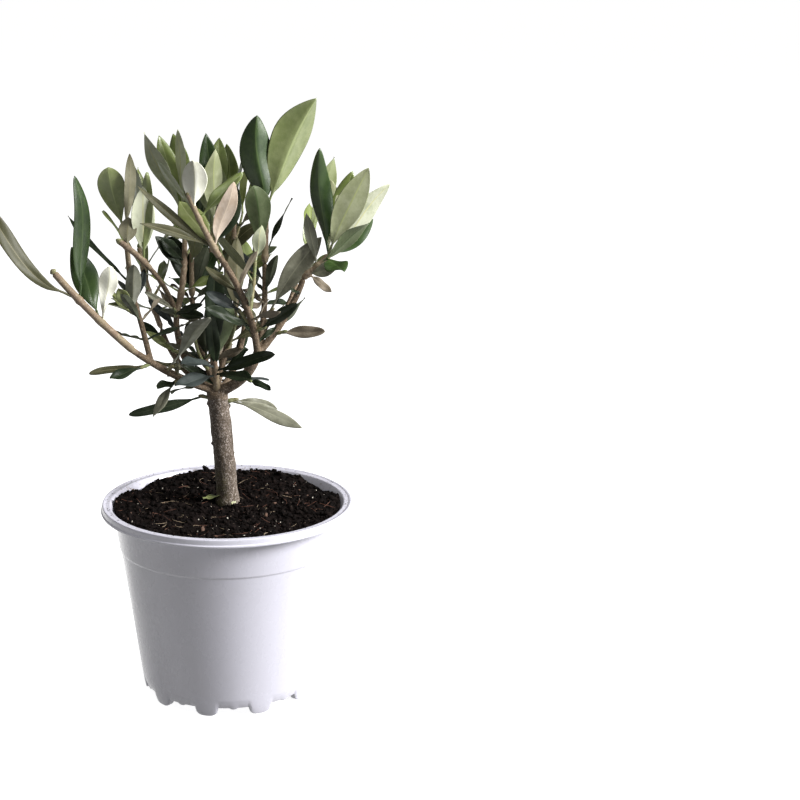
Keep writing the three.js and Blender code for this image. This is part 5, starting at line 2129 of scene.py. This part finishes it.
@dataclass
class Studio:
    """A near-white floor, soft lights from the right and above, and the photograph's camera."""

    axis: Vector
    lens: float = 72.3
    pitch: float = 14.27
    yaw: float = 6.36
    roll: float = 0.8
    eye: Triple = (0, -0.8, 0.3582)
    sight: float = 600.0
    floor_half: float = 240.0
    floor_colour: Triple = (0.6, 0.6, 0.6)
    floor_glow: float = 0.88
    world_colour: Triple = (1, 1, 0.97)
    world_strength: float = 0.2
    target_height: float = 0.15
    lights: tuple[AreaLight, ...] = (
        AreaLight("key", (1.25, -0.42, 0.8), 0.6, 52, (1.0, 0.99, 0.98)),
        AreaLight("top", (0.1, -0.35, 1.9), 1.3, 14, (1.0, 1.0, 0.98)),
    )

    def build(self) -> None:
        """Adds the floor, the world, the lights and the camera."""
        self.add_floor()
        self.add_world()
        for light in self.lights:
            light.build(self.axis + UP * self.target_height)
        self.add_camera()

    def add_floor(self) -> None:
        """Adds a wide floor on the level of the pot's feet, which throws no light back up on it."""
        bm = bmesh.new()
        bmesh.ops.create_grid(bm, x_segments=1, y_segments=1, size=self.floor_half)
        mesh = free_to_mesh(bm, "studio_floor")
        glow = {"Emission_Strength": self.floor_glow, "Emission_Color": (1, 1, 1)}
        graph = ShaderGraph("studio_floor", self.floor_colour, 0.9, Specular_IOR_Level=0.1, **glow)
        mesh.materials.append(graph.material)
        floor = add_object("studio_floor", mesh)
        floor.visible_diffuse = False

    def add_world(self) -> None:
        """Lights the scene evenly from all round."""
        world = bpy.data.worlds.new("studio")
        world.use_nodes = True
        background = world.node_tree.nodes["Background"]
        background.inputs["Color"].default_value = (*self.world_colour, 1)
        background.inputs["Strength"].default_value = self.world_strength
        bpy.context.scene.world = world
        bpy.context.scene.view_settings.view_transform = "Standard"

    def add_camera(self) -> None:
        """Adds the camera at the photograph's place, looking down on the plant and past its right."""
        data = bpy.data.cameras.new("camera")
        data.lens = self.lens
        data.sensor_width = 36
        data.clip_end = self.sight
        camera = add_object("camera", data)
        forward = aim(90 - self.yaw, -self.pitch)
        right = turned(forward.cross(UP).normalized(), forward, -math.radians(self.roll))
        up = right.cross(forward)
        camera.rotation_euler = Matrix((right, up, -forward)).transposed().to_euler()
        camera.location = self.axis + Vector(self.eye)
        bpy.context.scene.camera = camera


# The whole plant


KNOBS = (
    Knob("trunk", 20, 205, 1.0),
    Knob("trunk", 33, 190, 1.2),
    Knob("trunk", 41, 215, 0.9),
    Knob("trunk", 52, 8, 1.4),
    Knob("trunk", 55, 195, 1.2),
    Knob("trunk", 27, 350, 0.8),
)
LEFT_OPEN = (
    ("spray_leader_side", 0),
    ("spray_upright", 0),
    ("spray_back_right", 3),
    ("spray_back_right", 5),
    ("spray_back_outer", 1),
    ("spray_back_outer", 3),
)
PRUNED_ENDS = (
    PrunedEnd("bough_leader", 4, 1.65),
    PrunedEnd("bough_mid_stub", 4, 1.4),
    PrunedEnd("bough_left", 3, 1.55),
)
FALLEN_LEAVES = (
    FallenLeaf((-13.0, 2.6), 8, 11.5, 4.8, OLIVE),
    FallenLeaf((1.8, -4.2), 60, 4.2, 2.2, PALE),
)


def main() -> None:
    """Loads the solids and builds each sub-assembly in order."""
    logging.basicConfig(level=logging.INFO, format="%(message)s")
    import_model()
    low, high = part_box("pot")
    axis = Vector(((low.x + high.x) / 2, (low.y + high.y) / 2, 0))
    workshop = Workshop(axis)
    growth = Growth(BOUGHS, SPRAYS)
    LOG.info("%d leaves, %d twigs", len(growth.leaves), len(growth.twigs))
    soil = SoilFill()
    for part in (
        NurseryPot(),
        soil,
        WoodyFrame(growth, KNOBS),
        PrunedEnds(growth, PRUNED_ENDS),
        Shoots(growth),
        Foliage(growth, FALLEN_LEAVES, soil),
    ):
        part.build(workshop)
    Studio(axis).build()


if __name__ == "__main__":
    main()
